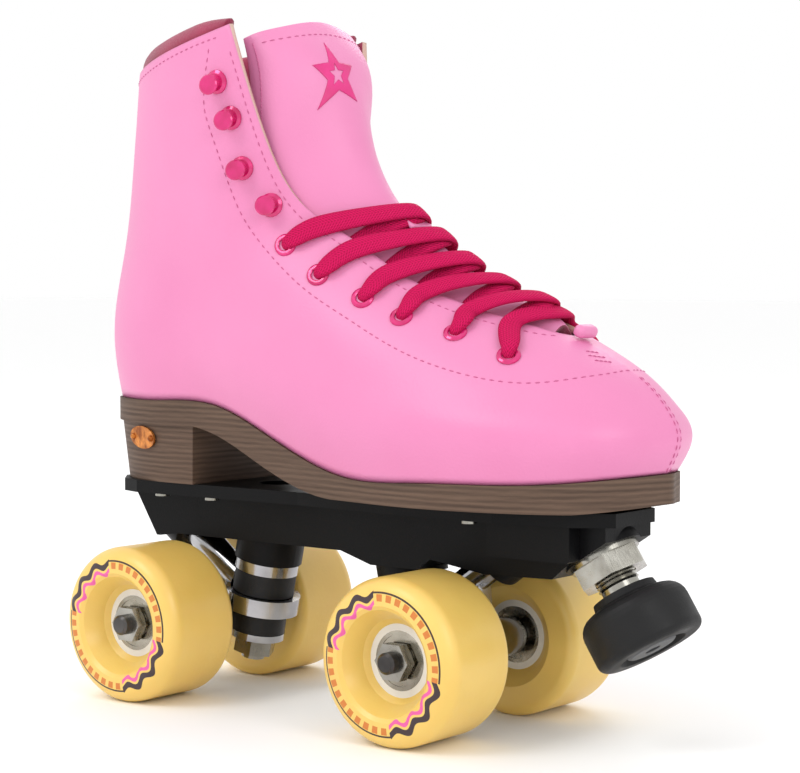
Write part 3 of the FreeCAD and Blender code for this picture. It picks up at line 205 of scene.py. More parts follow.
def finish_with(piece, *modifiers):
    """Adds modifiers, each a kind and its settings, and applies them."""
    bpy.ops.object.select_all(action="DESELECT")
    bpy.context.view_layer.objects.active = piece
    piece.select_set(True)
    for kind, settings in modifiers:
        modifier = piece.modifiers.new(kind.lower(), kind)
        for key, value in settings.items():
            setattr(modifier, key, value)
        bpy.ops.object.modifier_apply(modifier=modifier.name)
    return piece


def tint(red, green, blue):
    """A screen colour, 0 to 255, as light values."""
    shares = [level / 255 for level in (red, green, blue)]
    return tuple(s / 12.92 if s <= 10 / 255 else ((s + 0.055) / 1.055) ** 2.4 for s in shares) + (1,)


class Finish:
    """A new material with its shader, and short ways to add and join nodes."""

    def __init__(self, name, colour, rough, metal=0.0, **constants):
        self.material = bpy.data.materials.new(name)
        self.material.use_nodes = True
        self.tree = self.material.node_tree
        self.shader = self.tree.nodes["Principled BSDF"]
        self.shader.inputs["Base Color"].default_value = colour
        self.shader.inputs["Roughness"].default_value = rough
        self.shader.inputs["Metallic"].default_value = metal
        for key, value in constants.items():
            self.shader.inputs[key.replace("_", " ")].default_value = value
        self.place = self.node("ShaderNodeTexCoord").outputs["Object"]

    def node(self, kind, inputs=None, **settings):
        made = self.tree.nodes.new(kind)
        for key, value in settings.items():
            setattr(made, key, value)
        for key, value in (inputs or {}).items():
            self.feed(made.inputs[key], value)
        return made

    def feed(self, socket, value):
        if isinstance(value, bpy.types.NodeSocket):
            self.tree.links.new(value, socket)
        else:
            socket.default_value = value

    def math(self, operation, a, b=0.0):
        made = self.node("ShaderNodeMath", operation=operation)
        self.feed(made.inputs[0], a)
        self.feed(made.inputs[1], b)
        return made.outputs[0]

    def mix(self, share, a, b):
        made = self.node("ShaderNodeMix", data_type="RGBA")
        self.feed(made.inputs["Factor"], share)
        self.feed(made.inputs[6], a)
        self.feed(made.inputs[7], b)
        return made.outputs[2]

    def between(self, value, low, high, new_low=0.0, new_high=1.0):
        limits = {"From Min": low, "From Max": high, "To Min": new_low, "To Max": new_high}
        return self.node("ShaderNodeMapRange", {"Value": value, **limits}).outputs["Result"]

    def group(self, tree, **values):
        made = self.node("ShaderNodeGroup")
        made.node_tree = tree
        for key, value in values.items():
            self.feed(made.inputs[key.replace("_", " ")], value)
        return made

    def bump(self, height, depth, strength=1.0):
        made = self.node("ShaderNodeBump", {"Height": height, "Distance": depth, "Strength": strength})
        self.feed(self.shader.inputs["Normal"], made.outputs["Normal"])

    def colour(self, value):
        self.feed(self.shader.inputs["Base Color"], value)

    def rough(self, value):
        self.feed(self.shader.inputs["Roughness"], value)


def new_group(name, inputs, outputs):
    tree = bpy.data.node_groups.new(name, "ShaderNodeTree")
    for label, kind in inputs:
        tree.interface.new_socket(label, in_out="INPUT", socket_type=kind)
    for label, kind in outputs:
        tree.interface.new_socket(label, in_out="OUTPUT", socket_type=kind)
    return tree, tree.nodes.new("NodeGroupInput"), tree.nodes.new("NodeGroupOutput")


# the pebble and patchiness that every hide, cloth and moulding here shares
grain, grain_in, grain_out = new_group(
    "grain_and_patches",
    [("Place", "NodeSocketVector"), ("Fine", "NodeSocketFloat"), ("Broad", "NodeSocketFloat")],
    [("Height", "NodeSocketFloat"), ("Patch", "NodeSocketFloat")])
fine = grain.nodes.new("ShaderNodeTexNoise")
fine.inputs["Detail"].default_value = 4
pebble = grain.nodes.new("ShaderNodeTexVoronoi")
broad = grain.nodes.new("ShaderNodeTexNoise")
broad.inputs["Detail"].default_value = 3
summed = grain.nodes.new("ShaderNodeMath")
summed.operation = "MULTIPLY_ADD"
summed.inputs[1].default_value = 0.6
for texture, scale in ((fine, "Fine"), (pebble, "Fine"), (broad, "Broad")):
    grain.links.new(grain_in.outputs["Place"], texture.inputs["Vector"])
    grain.links.new(grain_in.outputs[scale], texture.inputs["Scale"])
grain.links.new(pebble.outputs["Distance"], summed.inputs[0])
grain.links.new(fine.outputs["Fac"], summed.inputs[2])
grain.links.new(summed.outputs[0], grain_out.inputs["Height"])
grain.links.new(broad.outputs["Fac"], grain_out.inputs["Patch"])


def leather_finish(name, colour, deep, rough=0.42):
    finish = Finish(name, colour, rough, Specular_IOR_Level=0.45, Coat_Weight=0.08, Coat_Roughness=0.35)
    parts = finish.group(grain, Place=finish.place, Fine=900.0, Broad=14.0)
    patch = finish.between(parts.outputs["Patch"], 0.35, 0.68)
    finish.colour(finish.mix(patch, deep, colour))
    finish.rough(finish.between(parts.outputs["Patch"], 0.3, 0.7, rough - 0.05, rough + 0.08))
    folds = finish.node("ShaderNodeTexNoise", {"Vector": finish.place, "Scale": 26.0, "Detail": 2.0})
    height = finish.math("MULTIPLY_ADD", folds.outputs["Fac"], 3.0)
    finish.feed(height.node.inputs[2], parts.outputs["Height"])
    finish.bump(height, 0.00012, 0.55)
    return finish.material


pink_leather = leather_finish("pink_leather", tint(226, 137, 182), tint(221, 129, 175))
cream_edge = leather_finish("cream_raw_edge", tint(226, 196, 182), tint(198, 160, 146), 0.75)


WEAVE = 700.0                        # loops of the lining cloth to a metre, as the wave texture counts them


def cloth_finish(name, colour, deep):
    """Close knitted cloth: fine loops over a soft nap."""
    finish = Finish(name, colour, 0.85, Sheen_Weight=0.35, Sheen_Roughness=0.5)
    bands = []
    for direction in ("X", "Y", "Z"):
        wave = finish.node("ShaderNodeTexWave", {"Vector": finish.place, "Scale": WEAVE, "Distortion": 1.2},
                           bands_direction=direction)
        bands.append(wave.outputs["Fac"])
    weave = finish.math("MULTIPLY", finish.math("ADD", bands[0], bands[1]), bands[2])
    parts = finish.group(grain, Place=finish.place, Fine=1400.0, Broad=30.0)
    finish.colour(finish.mix(finish.between(parts.outputs["Patch"], 0.3, 0.7), deep, colour))
    finish.bump(finish.math("ADD", weave, parts.outputs["Height"]), 0.00025, 0.5)
    return finish.material


rose_cloth = cloth_finish("rose_lining_cloth", tint(172, 44, 86), tint(132, 26, 62))

MESH_STEP = 2.2                                        # millimetres between the upper's mesh columns
around = np.concatenate([np.linspace(a, b, max(3, int((b - a) / MESH_STEP)))[:-1]
                         for a, b in zip(KNOTS[:-1], KNOTS[1:])])
rise = np.concatenate([np.linspace(0, 0.13, 6)[:-1], np.linspace(0.13, 0.9, 34)[:-1], np.linspace(0.9, 1, 9)])
points = np.array([skin(np.full(len(rise), u), rise) for u in around])
points[:, 0, 2] += 0.1
upper = mesh_piece("boot_upper", points, grid_faces(len(around), len(rise), ring=True),
                   [pink_leather, rose_cloth, cream_edge])
finish_with(upper, ("SOLIDIFY", {"thickness": LEATHER * MM, "offset": -1, "use_even_offset": True,
                                 "material_offset": 1, "material_offset_rim": 2}))
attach(upper, "boot")
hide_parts("upper_outer", "upper_inner")

# Stitching. Two rows follow each facing, one the collar, and one each side of the toe seam. A short
# bar holds the throat. All are lock-stitched in a darker pink thread that sinks into the leather.
thread = Finish("pink_thread", tint(206, 96, 148), 0.6)
twist = thread.node("ShaderNodeTexWave", {"Vector": thread.place, "Scale": 1800.0},
                    bands_direction="DIAGONAL")
# painted shade: the thread's colour is darker in the grooves of its twist and lighter on its plies
thread.colour(thread.mix(twist.outputs["Fac"], tint(182, 78, 128), tint(222, 120, 166)))
thread.bump(twist.outputs["Fac"], 0.0001, 0.6)


def stitch_row(places, pitch, lift=0.12, length=2.2):
    """Small sunken loops along a path of (u, v) places, each as its spot, way, outward direction, lift and
    length.
    """
    places = np.array(places, float)
    ways = natural(np.arange(len(places)), places)(np.linspace(0, len(places) - 1, 900))
    line = skin(ways[:, 0], np.minimum(ways[:, 1], 1))
    run = np.concatenate([[0], np.cumsum(np.linalg.norm(np.diff(line, axis=0), axis=1))])
    made = []
    for s in np.arange(pitch / 2, run[-1], pitch):
        k = int(np.clip(np.searchsorted(run, s), 1, len(line) - 2))
        way = line[k + 1] - line[k - 1]
        out = outward(ways[k, 0], min(ways[k, 1], 1))[0]
        made.append((line[k], way / np.linalg.norm(way), out, lift, length))
    return made


def stitches(name, rows, material, thick=0.25):
    ring = [(math.cos(a), math.sin(a)) for a in np.linspace(0, 2 * math.pi, 7)[:-1]]
    stations = [(-0.5, 0.25), (-0.36, 0.85), (0, 1.0), (0.36, 0.85), (0.5, 0.25)]
    points, faces = [], []
    for spot, way, out, lift, length in rows:
        side = np.cross(out, way)
        start = len(points)
        for along, wide in stations:
            centre = spot + way * along * length + out * (lift - abs(along) * 0.5)
            for c, s in ring:
                points.append(centre + (side * c + out * s) * thick * wide)
        for i in range(len(stations) - 1):
            for j in range(6):
                a, b = start + i * 6 + j, start + i * 6 + (j + 1) % 6
                faces.append((a, b, b + 6, a + 6))
        faces.append(tuple(start + j for j in range(5, -1, -1)))
        faces.append(tuple(start + (len(stations) - 1) * 6 + j for j in range(6)))
    piece = mesh_piece(name, points, faces, [material])
    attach(piece, "boot")
    return piece


def other_side(places):
    return [(END - u, v) for u, v in places]


FACING_ROW = [(1.0, 0.74), (10, 0.73), (33, 0.65), (57, 0.55), (86, 0.575), (110, 0.635), (137.4, 0.70),
              (166.5, 0.71), (191.6, 0.75), (209.6, 0.77), (227.7, 0.80), (238, 0.83), (243, 0.90),
              (246, 0.965)]
EDGE_ROW = [(30, 0.965), (57, 0.93), (93, 0.93), (119, 0.945), (147, 0.95), (172, 0.955), (190, 0.955),
            (214, 0.965), (229, 0.972), (238.5, 0.975)]
COLLAR_ROW = [(243.5, 0.975), (255, 0.975), (275, 0.972), (290, 0.972), (303.5, 0.972)]
rows = []
TOE_ROW = [(0.9, v) for v in (0.70, 0.45, 0.2, 0.02)]
for places, pitch in ((FACING_ROW, 3.3), (EDGE_ROW, 3.3), (COLLAR_ROW, 3.3), (TOE_ROW, 3.0)):
    rows += stitch_row(places, pitch) + stitch_row(other_side(places), pitch)
for k in range(3):
    bar = 0.80 + 0.035 * k
    rows += stitch_row([(8 - 0.01 * k, bar), (14, bar), (20, bar)], 1.8, 0.2, 1.8)
stitches("boot_stitches", rows, thread.material)

# Collar lining. A foam roll under rose cloth, turned over the top line from one front corner
# round the heel to the other, and glued inside.
# the roll's section, as (depth behind the leather's face, height over its top edge)
PROFILE = [(0.15, -36), (0.15, -20), (0.15, -6), (0.1, -0.5), (-1.2, 1.2), (-1.5, 4.2), (0.0, 7.8),
           (2.6, 9.0), (4.9, 7.6), (6.1, 3.0), (6.4, -4), (5.8, -14), (4.6, -26), (3.2, -36)]
ROLL_END = 3                                           # how far the roll stops short of each corner
around = np.linspace(KNOTS[NEAR] + ROLL_END, KNOTS[FAR] - ROLL_END, 121)
profile_points = []
for u in around:
    ends = min(u - KNOTS[NEAR], KNOTS[FAR] - u)
    fade = 0.5 + 0.5 * math.sin(min(1, (ends - ROLL_END) / 16) * math.pi / 2)
    back = 0.85 + 0.15 * min(1, abs(u - KNOTS[9]) / 26)
    out = outward(u, 0.985)[0]
    top, below = skin(u, 1)[0], skin(u, 0.9)[0]
    climb = (top - below) / np.linalg.norm(top - below)
    for depth, high in PROFILE:
        height = high * (fade * back if high > 0 else 1)
        full = 1 if high < 1 or depth <= 0.2 else 0.55 + 0.45 * fade
        base = top + climb * height
        if high < 0:
            drop = max(0.6, 1 + high / np.linalg.norm(top - skin(u, 0)[0]))
            base = skin(u, drop)[0]
        profile_points.append(base - out * (LEATHER + max(depth, -1.3 * fade) * full))
count = len(PROFILE)
faces = []
for i in range(len(around) - 1):
    for j in range(count):
        a, b = i * count + j, i * count + (j + 1) % count
        faces.append((a, b, b + count, a + count))
faces.append(tuple(range(count - 1, -1, -1)))
faces.append(tuple((len(around) - 1) * count + j for j in range(count)))
lining = mesh_piece("collar_roll", profile_points, faces, [rose_cloth])
finish_with(lining, ("SUBSURF", {"levels": 1, "render_levels": 1}))
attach(lining, "boot")
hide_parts("collar_lining")

# Tongue. Foam between pink leather in front and rose cloth behind, edge-stitched, curved across
# the instep. A plain star is printed near its top.
CREST = [(103, 151.5), (94.5, 157), (70, 167), (48, 181.5), (27, 198.5), (13, 222)]
tongue_rows = []
for k, u in enumerate(KNOTS[1:7]):
    near = [skin(u, v)[0] - outward(u, v)[0] * (LEATHER + 1.2) for v in (0.88, 0.94, 1)]
    far = [skin(END - u, v)[0] - outward(END - u, v)[0] * (LEATHER + 1.2) for v in (1, 0.94, 0.88)]
    x, z = CREST[k]
    tongue_rows.append(near + [np.array([x, float(lean_in(x)), z])] + far)
FREE = [((-20, -29, 240), (6, 247), (-13, 29, 241)), ((-25, -28, 262), (-9.5, 270), (-17, 28, 264))]
BULGE = ((1, 1, 0), (0.6, 0.92, 0.3), (0.25, 0.66, 0.6))
for near, (xc, zc), far in FREE:
    half = [[np.array([x * a + xc * (1 - a), y * b, z * (1 - c) + zc * c]) for a, b, c in BULGE]
            for x, y, z in (near, far)]
    tongue_rows.append(half[0] + [np.array([xc, 0, zc])] + half[1][::-1])
tongue_rows = np.array(tongue_rows)
tongue_cross = natural([0, 0.12, 0.25, 0.5, 0.75, 0.88, 1], tongue_rows.transpose(1, 0, 2))


def tongue_at(s, q):
    """Points of the tongue's front: s runs from the toe to its top, q across it."""
    s, q = np.broadcast_arrays(np.atleast_1d(np.asarray(s, float)), np.atleast_1d(np.asarray(q, float)))
    cross = np.array([natural(np.arange(8), tongue_cross([qq])[0])([ss * 7])[0] for ss, qq in zip(s, q)])
    return cross


tongue_cloth = cloth_finish("tongue_backing", tint(176, 50, 92), tint(140, 30, 68))
TONGUE_LONG, TONGUE_ACROSS = 61, 33                    # mesh points along and across
front = np.array([[tongue_at(s, q)[0] for q in np.linspace(0, 1, TONGUE_ACROSS)]
                  for s in np.linspace(0, 1, TONGUE_LONG)])
tongue = mesh_piece("tongue_pad", front, grid_faces(TONGUE_LONG, TONGUE_ACROSS, flip=True),
                    [pink_leather, tongue_cloth])
normal = np.array([v.normal for v in tongue.data.vertices]).mean(0)
if normal[0] < 0:
    tongue.data.flip_normals()
finish_with(tongue, ("SOLIDIFY", {"thickness": 4 * MM, "offset": -1,
                                  "material_offset": 1, "material_offset_rim": 1}),
            ("BEVEL", {"width": 1.1 * MM, "segments": 3, "limit_method": "ANGLE", "angle_limit": 0.9}))
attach(tongue, "boot")
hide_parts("tongue")


def tongue_out(s, q):
    a = tongue_at(min(s + 0.01, 1), q)[0] - tongue_at(max(s - 0.01, 0), q)[0]
    b = tongue_at(s, min(q + 0.01, 1))[0] - tongue_at(s, max(q - 0.01, 0))[0]
    n = np.cross(b, a)
    n = n / np.linalg.norm(n)
    return n if n[0] > 0 else -n


star_ink = Finish("star_ink", tint(214, 40, 122), 0.38)
speckle = star_ink.group(grain, Place=star_ink.place, Fine=1500.0, Broad=60.0)
patch = star_ink.between(speckle.outputs["Patch"], 0.3, 0.7)
star_ink.colour(star_ink.mix(patch, tint(198, 30, 108), tint(222, 48, 132)))
star_ink.bump(speckle.outputs["Height"], 0.00008, 0.4)
star_points, star_faces = [], []
corners = []
for k in range(10):
    reach = 0.125 if k % 2 == 0 else 0.055
    turn = math.pi / 2 + k * math.pi / 5
    corners.append((reach * math.cos(turn), reach * math.sin(turn)))
for k in range(10):
    a, b = corners[k], corners[(k + 1) % 10]
    start = len(star_points)
    for i in range(7):
        for j in range(7):
            t, w = i / 6, j / 6
            x = (a[0] * (1 - w) + b[0] * w) * (0.34 + 0.66 * t)
            y = (a[1] * (1 - w) + b[1] * w) * (0.34 + 0.66 * t)
            s, q = 0.865 + y * 0.62, 0.42 + x * 1.15
            star_points.append(tongue_at(s, q)[0] + tongue_out(s, q) * 0.12)
    for i in range(6):
        for j in range(6):
            c = start + i * 7 + j
            star_faces.append((c, c + 7, c + 8, c + 1))
star = mesh_piece("tongue_star", star_points, star_faces, [star_ink.material])
finish_with(star, ("WELD", {"merge_threshold": 0.00001}), ("SOLIDIFY", {"thickness": 0.16 * MM, "offset": 0}))
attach(star, "boot")

edge_rows = []
for q in (0.055, 0.945):
    line = [tongue_at(s, q)[0] for s in np.linspace(0.72, 0.975, 30)]
    for k in range(1, 29):
        way = line[k + 1] - line[k - 1]
        edge_rows.append((line[k], way / np.linalg.norm(way), tongue_out(0.72 + 0.255 * k / 29, q), 0.1, 2.2))
line = [tongue_at(0.965, q)[0] for q in np.linspace(0.08, 0.92, 22)]
for k in range(1, 21):
    way = line[k + 1] - line[k - 1]
    edge_rows.append((line[k], way / np.linalg.norm(way), tongue_out(0.965, 0.08 + 0.84 * k / 21), 0.1, 2.2))
stitches("tongue_stitches", edge_rows, thread.material)

# Laces. One flat tubular braid. Each crossing comes out from under one facing, lies flat over the
# tongue, and bunches where it goes down into the next eyelet of the other side.
EYELETS = [(63.4, 0.72), (89.2, 0.805), (116.2, 0.814), (138.5, 0.822), (164.3, 0.797), (186.6, 0.822)]
braid = Finish("lace_braid", tint(206, 22, 90), 0.85, Specular_IOR_Level=0.15)
strand = braid.node("ShaderNodeUVMap", uv_map="braid").outputs["UV"]
parts = braid.node("ShaderNodeSeparateXYZ", {"Vector": strand})
fold = braid.math("ABSOLUTE", braid.math("SUBTRACT", parts.outputs["Y"], 0.5))
lean = braid.math("SUBTRACT", parts.outputs["X"], braid.math("MULTIPLY", fold, 9.0))
ridge = braid.math("ABSOLUTE", braid.math("SUBTRACT", braid.math("FRACT", lean), 0.5))
strands = braid.math("FRACT", braid.math("MULTIPLY", parts.outputs["Y"], 12.0))
cell = braid.math("ABSOLUTE", braid.math("SUBTRACT", strands, 0.5))
hollow = braid.math("ADD", braid.math("MULTIPLY", ridge, 1.2), braid.math("MULTIPLY", cell, 0.7))
height = braid.math("SUBTRACT", 1.0, hollow)
# painted shade: the braid's colour is darker in its hollows and lighter on its ridges
braid.colour(braid.mix(braid.between(height, 0.1, 0.8), tint(168, 8, 62), tint(216, 24, 96)))
braid.bump(height, 0.0006, 0.8)


def crest_at(u):
    """The tongue's crest beside a place on the facing, and its way out."""
    s = float(np.interp(u, list(KNOTS[1:NEAR + 1]) + [KNOTS[NEAR] + 20], np.arange(8) / 7))
    return tongue_at(s, 0.5)[0], tongue_out(s, 0.5)


LACE_LEAN = 5                                          # towards the toe, where a crossing leaves a facing
LACE_SAG = 17                                          # towards the toe, where it lies on the tongue


def over_end(u, v, lean):
    """From the hole of an eyelet, over the facing to its edge, leaning towards the toe."""
    spot, out = skin(u, v)[0], outward(u, v)[0]
    up = skin(u + lean * 0.4, min(v + 0.07, 1))[0] - skin(u, v)[0]
    up = up / np.linalg.norm(up)
    edge, edge_out = skin(u + lean, 1)[0], outward(u + lean, 0.98)[0]
    return [(spot - out * 1.0, out, 0.0), (spot + out * 1.3 + up * 1.6, out, 0.25),
            (spot + out * 2.3 + up * 6, out, 0.8), (edge * 0.8 + spot * 0.2 + edge_out * 2.0, edge_out, 1.0)]


def under_end(u):
    """From beneath the facing to its edge."""
    out = outward(u, 0.95)[0]
    edge = skin(u, 1)[0]
    up = edge - skin(u, 0.9)[0]
    return [(edge - up - out * (LEATHER + 0.9), out, 1.0), (edge + up * 0.1 - out * (LEATHER + 0.5), out, 1.0)]


def lace_path(low, high, side, lift):
    """One crossing: out from under one facing, over the tongue, and into the other side's eyelet."""
    (u0, v0), (u1, v1) = low, high
    if side < 0:
        first = over_end(u0, v0, 0) if low == high else under_end(u0)
        last = over_end(END - u1, v1, LACE_LEAN)
    else:
        first, last = under_end(END - u0), over_end(u1, v1, -LACE_LEAN)
    crest, way = crest_at((u0 + u1) / 2 - LACE_SAG)
    between = []
    for (spot, out, _), clear in ((first[-1], 2.4), (last[-1], 2.8)):
        between.append((spot * 0.5 + crest * 0.5 + (way + out) / 2 * (clear + lift), way + out, 1.0))
    return first + [between[0], (crest + way * (1.6 + lift * 1.5), way, 1.0), between[1]] + last[::-1]


LACE_STEPS, LACE_ROUND = 73, 16                        # mesh points along one crossing, and round it


def squared(value, power):
    """A sine or cosine pulled towards a flatter, squarer curve."""
    return math.copysign(abs(value) ** power, value)


def lace_run(name, paths, wide=4.3, thick=1.25):
    """Every crossing as one mesh, with a map that runs along and round the braid."""
    points, faces, uvs = [], [], []
    section = [(squared(math.cos(a), 0.75), squared(math.sin(a), 0.85))
               for a in np.linspace(0, 2 * math.pi, LACE_ROUND + 1)[:-1]]
    for path in paths:
        keys = np.arange(len(path))
        line = natural(keys, [p for p, _, _ in path])
        outs = natural(keys, [o / np.linalg.norm(o) for _, o, _ in path])
        places = np.linspace(0, len(path) - 1, LACE_STEPS)
        centre, out_way = line(places), outs(places)
        flat = np.interp(places, keys, [f for _, _, f in path])
        start, run = len(points), 0.0
        for k in range(len(places)):
            way = centre[min(k + 1, LACE_STEPS - 1)] - centre[max(k - 1, 0)]
            way = way / np.linalg.norm(way)
            if k:
                run += np.linalg.norm(centre[k] - centre[k - 1])
            out = out_way[k] - way * out_way[k].dot(way)
            out = out / np.linalg.norm(out)
            side = np.cross(way, out)
            w = wide * (0.5 + 0.5 * flat[k])
            t = thick * (1.45 - 0.45 * flat[k])
            for c, s in section:
                points.append(centre[k] + side * c * w + out * s * t)
                uvs.append((run / 1.2, (math.atan2(s, c) / (2 * math.pi)) % 1.0 * 2 % 1.0))
        for k in range(len(places) - 1):
            for j in range(LACE_ROUND):
                a, b = start + k * LACE_ROUND + j, start + k * LACE_ROUND + (j + 1) % LACE_ROUND
                faces.append((a, b, b + LACE_ROUND, a + LACE_ROUND))
        faces.append(tuple(start + j for j in range(LACE_ROUND - 1, -1, -1)))
        faces.append(tuple(start + (LACE_STEPS - 1) * LACE_ROUND + j for j in range(LACE_ROUND)))
    piece = mesh_piece(name, points, faces, [braid.material])
    layer = piece.data.uv_layers.new(name="braid")
    for polygon in piece.data.polygons:
        corners_here = [uvs[i] for i in polygon.vertices]
        wraps = max(v for _, v in corners_here) - min(v for _, v in corners_here) > 0.5
        for loop, (a, b) in zip(polygon.loop_indices, corners_here):
            layer.data[loop].uv = (a, b + 1 if wraps and b < 0.5 else b)
    return piece


crossings = []
crossings.append(lace_path(EYELETS[0], EYELETS[0], -1, 0.0))
for k in range(5):
    crossings.append(lace_path(EYELETS[k], EYELETS[k + 1], -1, 0.5))
    crossings.append(lace_path(EYELETS[k], EYELETS[k + 1], 1, 2.0))
laces = lace_run("laces", crossings)
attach(laces, "boot")
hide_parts("lace")

# Lace keeper and throat tab. A short leather strap is sewn across the tongue's crest, and a
# rolled tab finishes the foot of the throat.
STRAP_BOW = 14                                         # how fast a strap curves down to its ends


def small_strap(name, sizes, spot, out, way, node):
    """A leather strap of rounded section, laid on a spot."""
    bpy.ops.object.select_all(action="DESELECT")
    bpy.ops.mesh.primitive_cube_add(size=1)
    piece = bpy.context.object
    piece.name = name
    for vertex in piece.data.vertices:
        vertex.co = Vector([c * s * MM for c, s in zip(vertex.co, sizes)])
    finish_with(piece, ("BEVEL", {"width": min(sizes) * 0.42 * MM, "segments": 4}))
    out = Vector(out).normalized()
    side = out.cross(Vector(way)).normalized()
    front = side.cross(out)
    for vertex in piece.data.vertices:
        x, y, z = vertex.co
        vertex.co = at(*spot) + front * x + side * y + out * (z - STRAP_BOW * y * y)
    for polygon in piece.data.polygons:
        polygon.use_smooth = True
    piece.data.materials.clear()
    piece.data.materials.append(pink_leather)
    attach(piece, "boot")
    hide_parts(node)
    return piece


crest, crest_out = tongue_at(0.5, 0.5)[0], tongue_out(0.5, 0.5)
crest_way = tongue_at(0.53, 0.5)[0] - tongue_at(0.47, 0.5)[0]
small_strap("lace_keeper", (6.5, 13, 1.8), crest + crest_out * 1.2, crest_out, crest_way, "tongue_loop")
throat = (112, float(lean_in(112)), 149.6)
small_strap("throat_roll", (5, 11, 4.6), throat, (0.45, 0, 0.89), (-0.89, 0, 0.45), "throat_tab")

# Sole, heel and insole. Sole and heel are thin brown boards with a printed grain, sanded flush. The
# insole is covered in soft cloth.


def board_finish(name, light, dark):
    finish = Finish(name, light, 0.55, Specular_IOR_Level=0.35)
    squeezed = finish.node("ShaderNodeMapping", {"Vector": finish.place, "Scale": (1.0, 1.0, 30.0)})
    streak = finish.node("ShaderNodeTexNoise", {"Vector": squeezed.outputs["Vector"], "Scale": 30.0,
                                                "Detail": 8.0, "Roughness": 0.65})
    lines = finish.node("ShaderNodeTexWave", {"Vector": finish.place, "Scale": 150.0, "Distortion": 1.1,
                                              "Detail": 3.0, "Detail Scale": 1.2}, bands_direction="Z")
    shade = finish.math("ADD", finish.math("MULTIPLY", streak.outputs["Fac"], 0.75),
                        finish.math("MULTIPLY", lines.outputs["Fac"], 0.18))
    finish.colour(finish.mix(finish.between(shade, 0.22, 0.72), dark, light))
    finish.rough(finish.between(shade, 0.3, 0.8, 0.68, 0.5))
    finish.bump(shade, 0.0004, 0.5)
    return finish.material


def dress(node, material):
    """Gives a CAD piece its finish."""
    mesh = nodes[node].data
    mesh.materials.clear()
    mesh.materials.append(material)


board = board_finish("stacked_board", tint(108, 85, 69), tint(62, 46, 36))
for name in ("outsole", "heel_block"):
    dress(name, board)
dress("insole", cloth_finish("insole_cloth", tint(196, 120, 140), tint(170, 96, 120)))

# Eyelets and hooks. Pressed brass under glossy magenta enamel of a slightly uneven depth.
enamel = Finish("magenta_enamel", tint(206, 22, 104), 0.2, 0.35, Coat_Weight=0.7, Coat_Roughness=0.08)
parts = enamel.group(grain, Place=enamel.place, Fine=500.0, Broad=120.0)
patch = enamel.between(parts.outputs["Patch"], 0.3, 0.7)
enamel.colour(enamel.mix(patch, tint(186, 14, 88), tint(220, 36, 122)))
enamel.bump(parts.outputs["Height"], 0.00003, 0.4)
for name in ("eyelets_outer", "eyelets_inner", "hooks_outer", "hooks_inner"):
    dress(name, enamel.material)

# Heel badge. A small stamped oval in satin bronze with two rivets and no mark.
bronze = Finish("stamped_bronze", tint(206, 124, 52), 0.38, 0.75)
parts = bronze.group(grain, Place=bronze.place, Fine=700.0, Broad=260.0)
patch = bronze.between(parts.outputs["Patch"], 0.35, 0.65)
bronze.colour(bronze.mix(patch, tint(140, 74, 26), tint(226, 146, 70)))
bronze.bump(parts.outputs["Height"], 0.00012, 0.7)
dress("heel_badge", bronze.material)
dress("badge_rivets", bronze.material)

# Chassis. Black glass-filled nylon with a fine moulded texture, and bright screws into the sole.
nylon = Finish("black_nylon", tint(12, 11, 10), 0.45, Specular_IOR_Level=0.12)
parts = nylon.group(grain, Place=nylon.place, Fine=1300.0, Broad=40.0)
nylon.colour(nylon.mix(parts.outputs["Patch"], tint(8, 8, 9), tint(19, 19, 20)))
nylon.rough(nylon.between(parts.outputs["Patch"], 0.3, 0.7, 0.36, 0.5))
nylon.bump(parts.outputs["Height"], 0.00008, 0.5)
dress("chassis_plate", nylon.material)


def metal_finish(name, light, dark, rough, scratch=220.0):
    """Plated or polished metal: cloudy patches of darker and lighter colour that paint the reflection of a
    studio with dark and bright parts, and fine turning marks.
    """
    finish = Finish(name, light, rough, 1.0)
    parts = finish.group(grain, Place=finish.place, Fine=scratch * 5, Broad=55.0)
    lines = finish.node("ShaderNodeMapping", {"Vector": finish.place, "Scale": (1.0, 9.0, 1.0)})
    marks = finish.node("ShaderNodeTexNoise", {"Vector": lines.outputs["Vector"], "Scale": scratch,
                                               "Detail": 3.0})
    # painted reflection: broad patches of darker and lighter metal colour stand in for a studio with dark and
    # bright parts
    finish.colour(finish.mix(finish.between(parts.outputs["Patch"], 0.3, 0.7), dark, light))
    finish.rough(finish.between(marks.outputs["Fac"], 0.3, 0.7, rough - 0.06, rough + 0.12))
    finish.bump(marks.outputs["Fac"], 0.00004, 0.5)
    return finish.material


zinc = metal_finish("bright_zinc", tint(176, 174, 166), tint(118, 114, 104), 0.2)
polished = metal_finish("polished_casting", tint(196, 196, 198), tint(142, 142, 144), 0.13, 120.0)
race_steel = metal_finish("race_steel", tint(178, 172, 158), tint(120, 114, 100), 0.2, 400.0)
dark_steel = metal_finish("dark_axle_steel", tint(96, 94, 92), tint(58, 56, 56), 0.34)
for name in ("plate_screws", "kingpins", "kingpin_nuts",
             "toe_stop_stem", "toe_stop_washer", "toe_stop_lock_nut"):
    dress(name, zinc)
for name in ("kingpin_top_washers", "kingpin_bottom_washers"):
    dress(name, polished)
for end in ("rear", "front"):
    dress(end + "_hanger", polished)
    dress(end + "_axle", dark_steel)
    dress(end + "_axle_nuts", zinc)
    dress(end + "_axle_spacers", zinc)
    dress(end + "_bearing_inner_rings", race_steel)

# Cushions, pivot cups and toe stop. Black rubber, dull where moulded and scuffed on the stop.


def rubber_finish(name, light, dark, scuff=0.0):
    finish = Finish(name, light, 0.6, Specular_IOR_Level=0.35)
    parts = finish.group(grain, Place=finish.place, Fine=1600.0, Broad=70.0)
    finish.colour(finish.mix(finish.between(parts.outputs["Patch"], 0.4, 0.72), dark, light))
    finish.rough(finish.between(parts.outputs["Patch"], 0.3, 0.7, 0.42, 0.62 + scuff))
    finish.bump(parts.outputs["Height"], 0.0001, 0.6)
    return finish.material


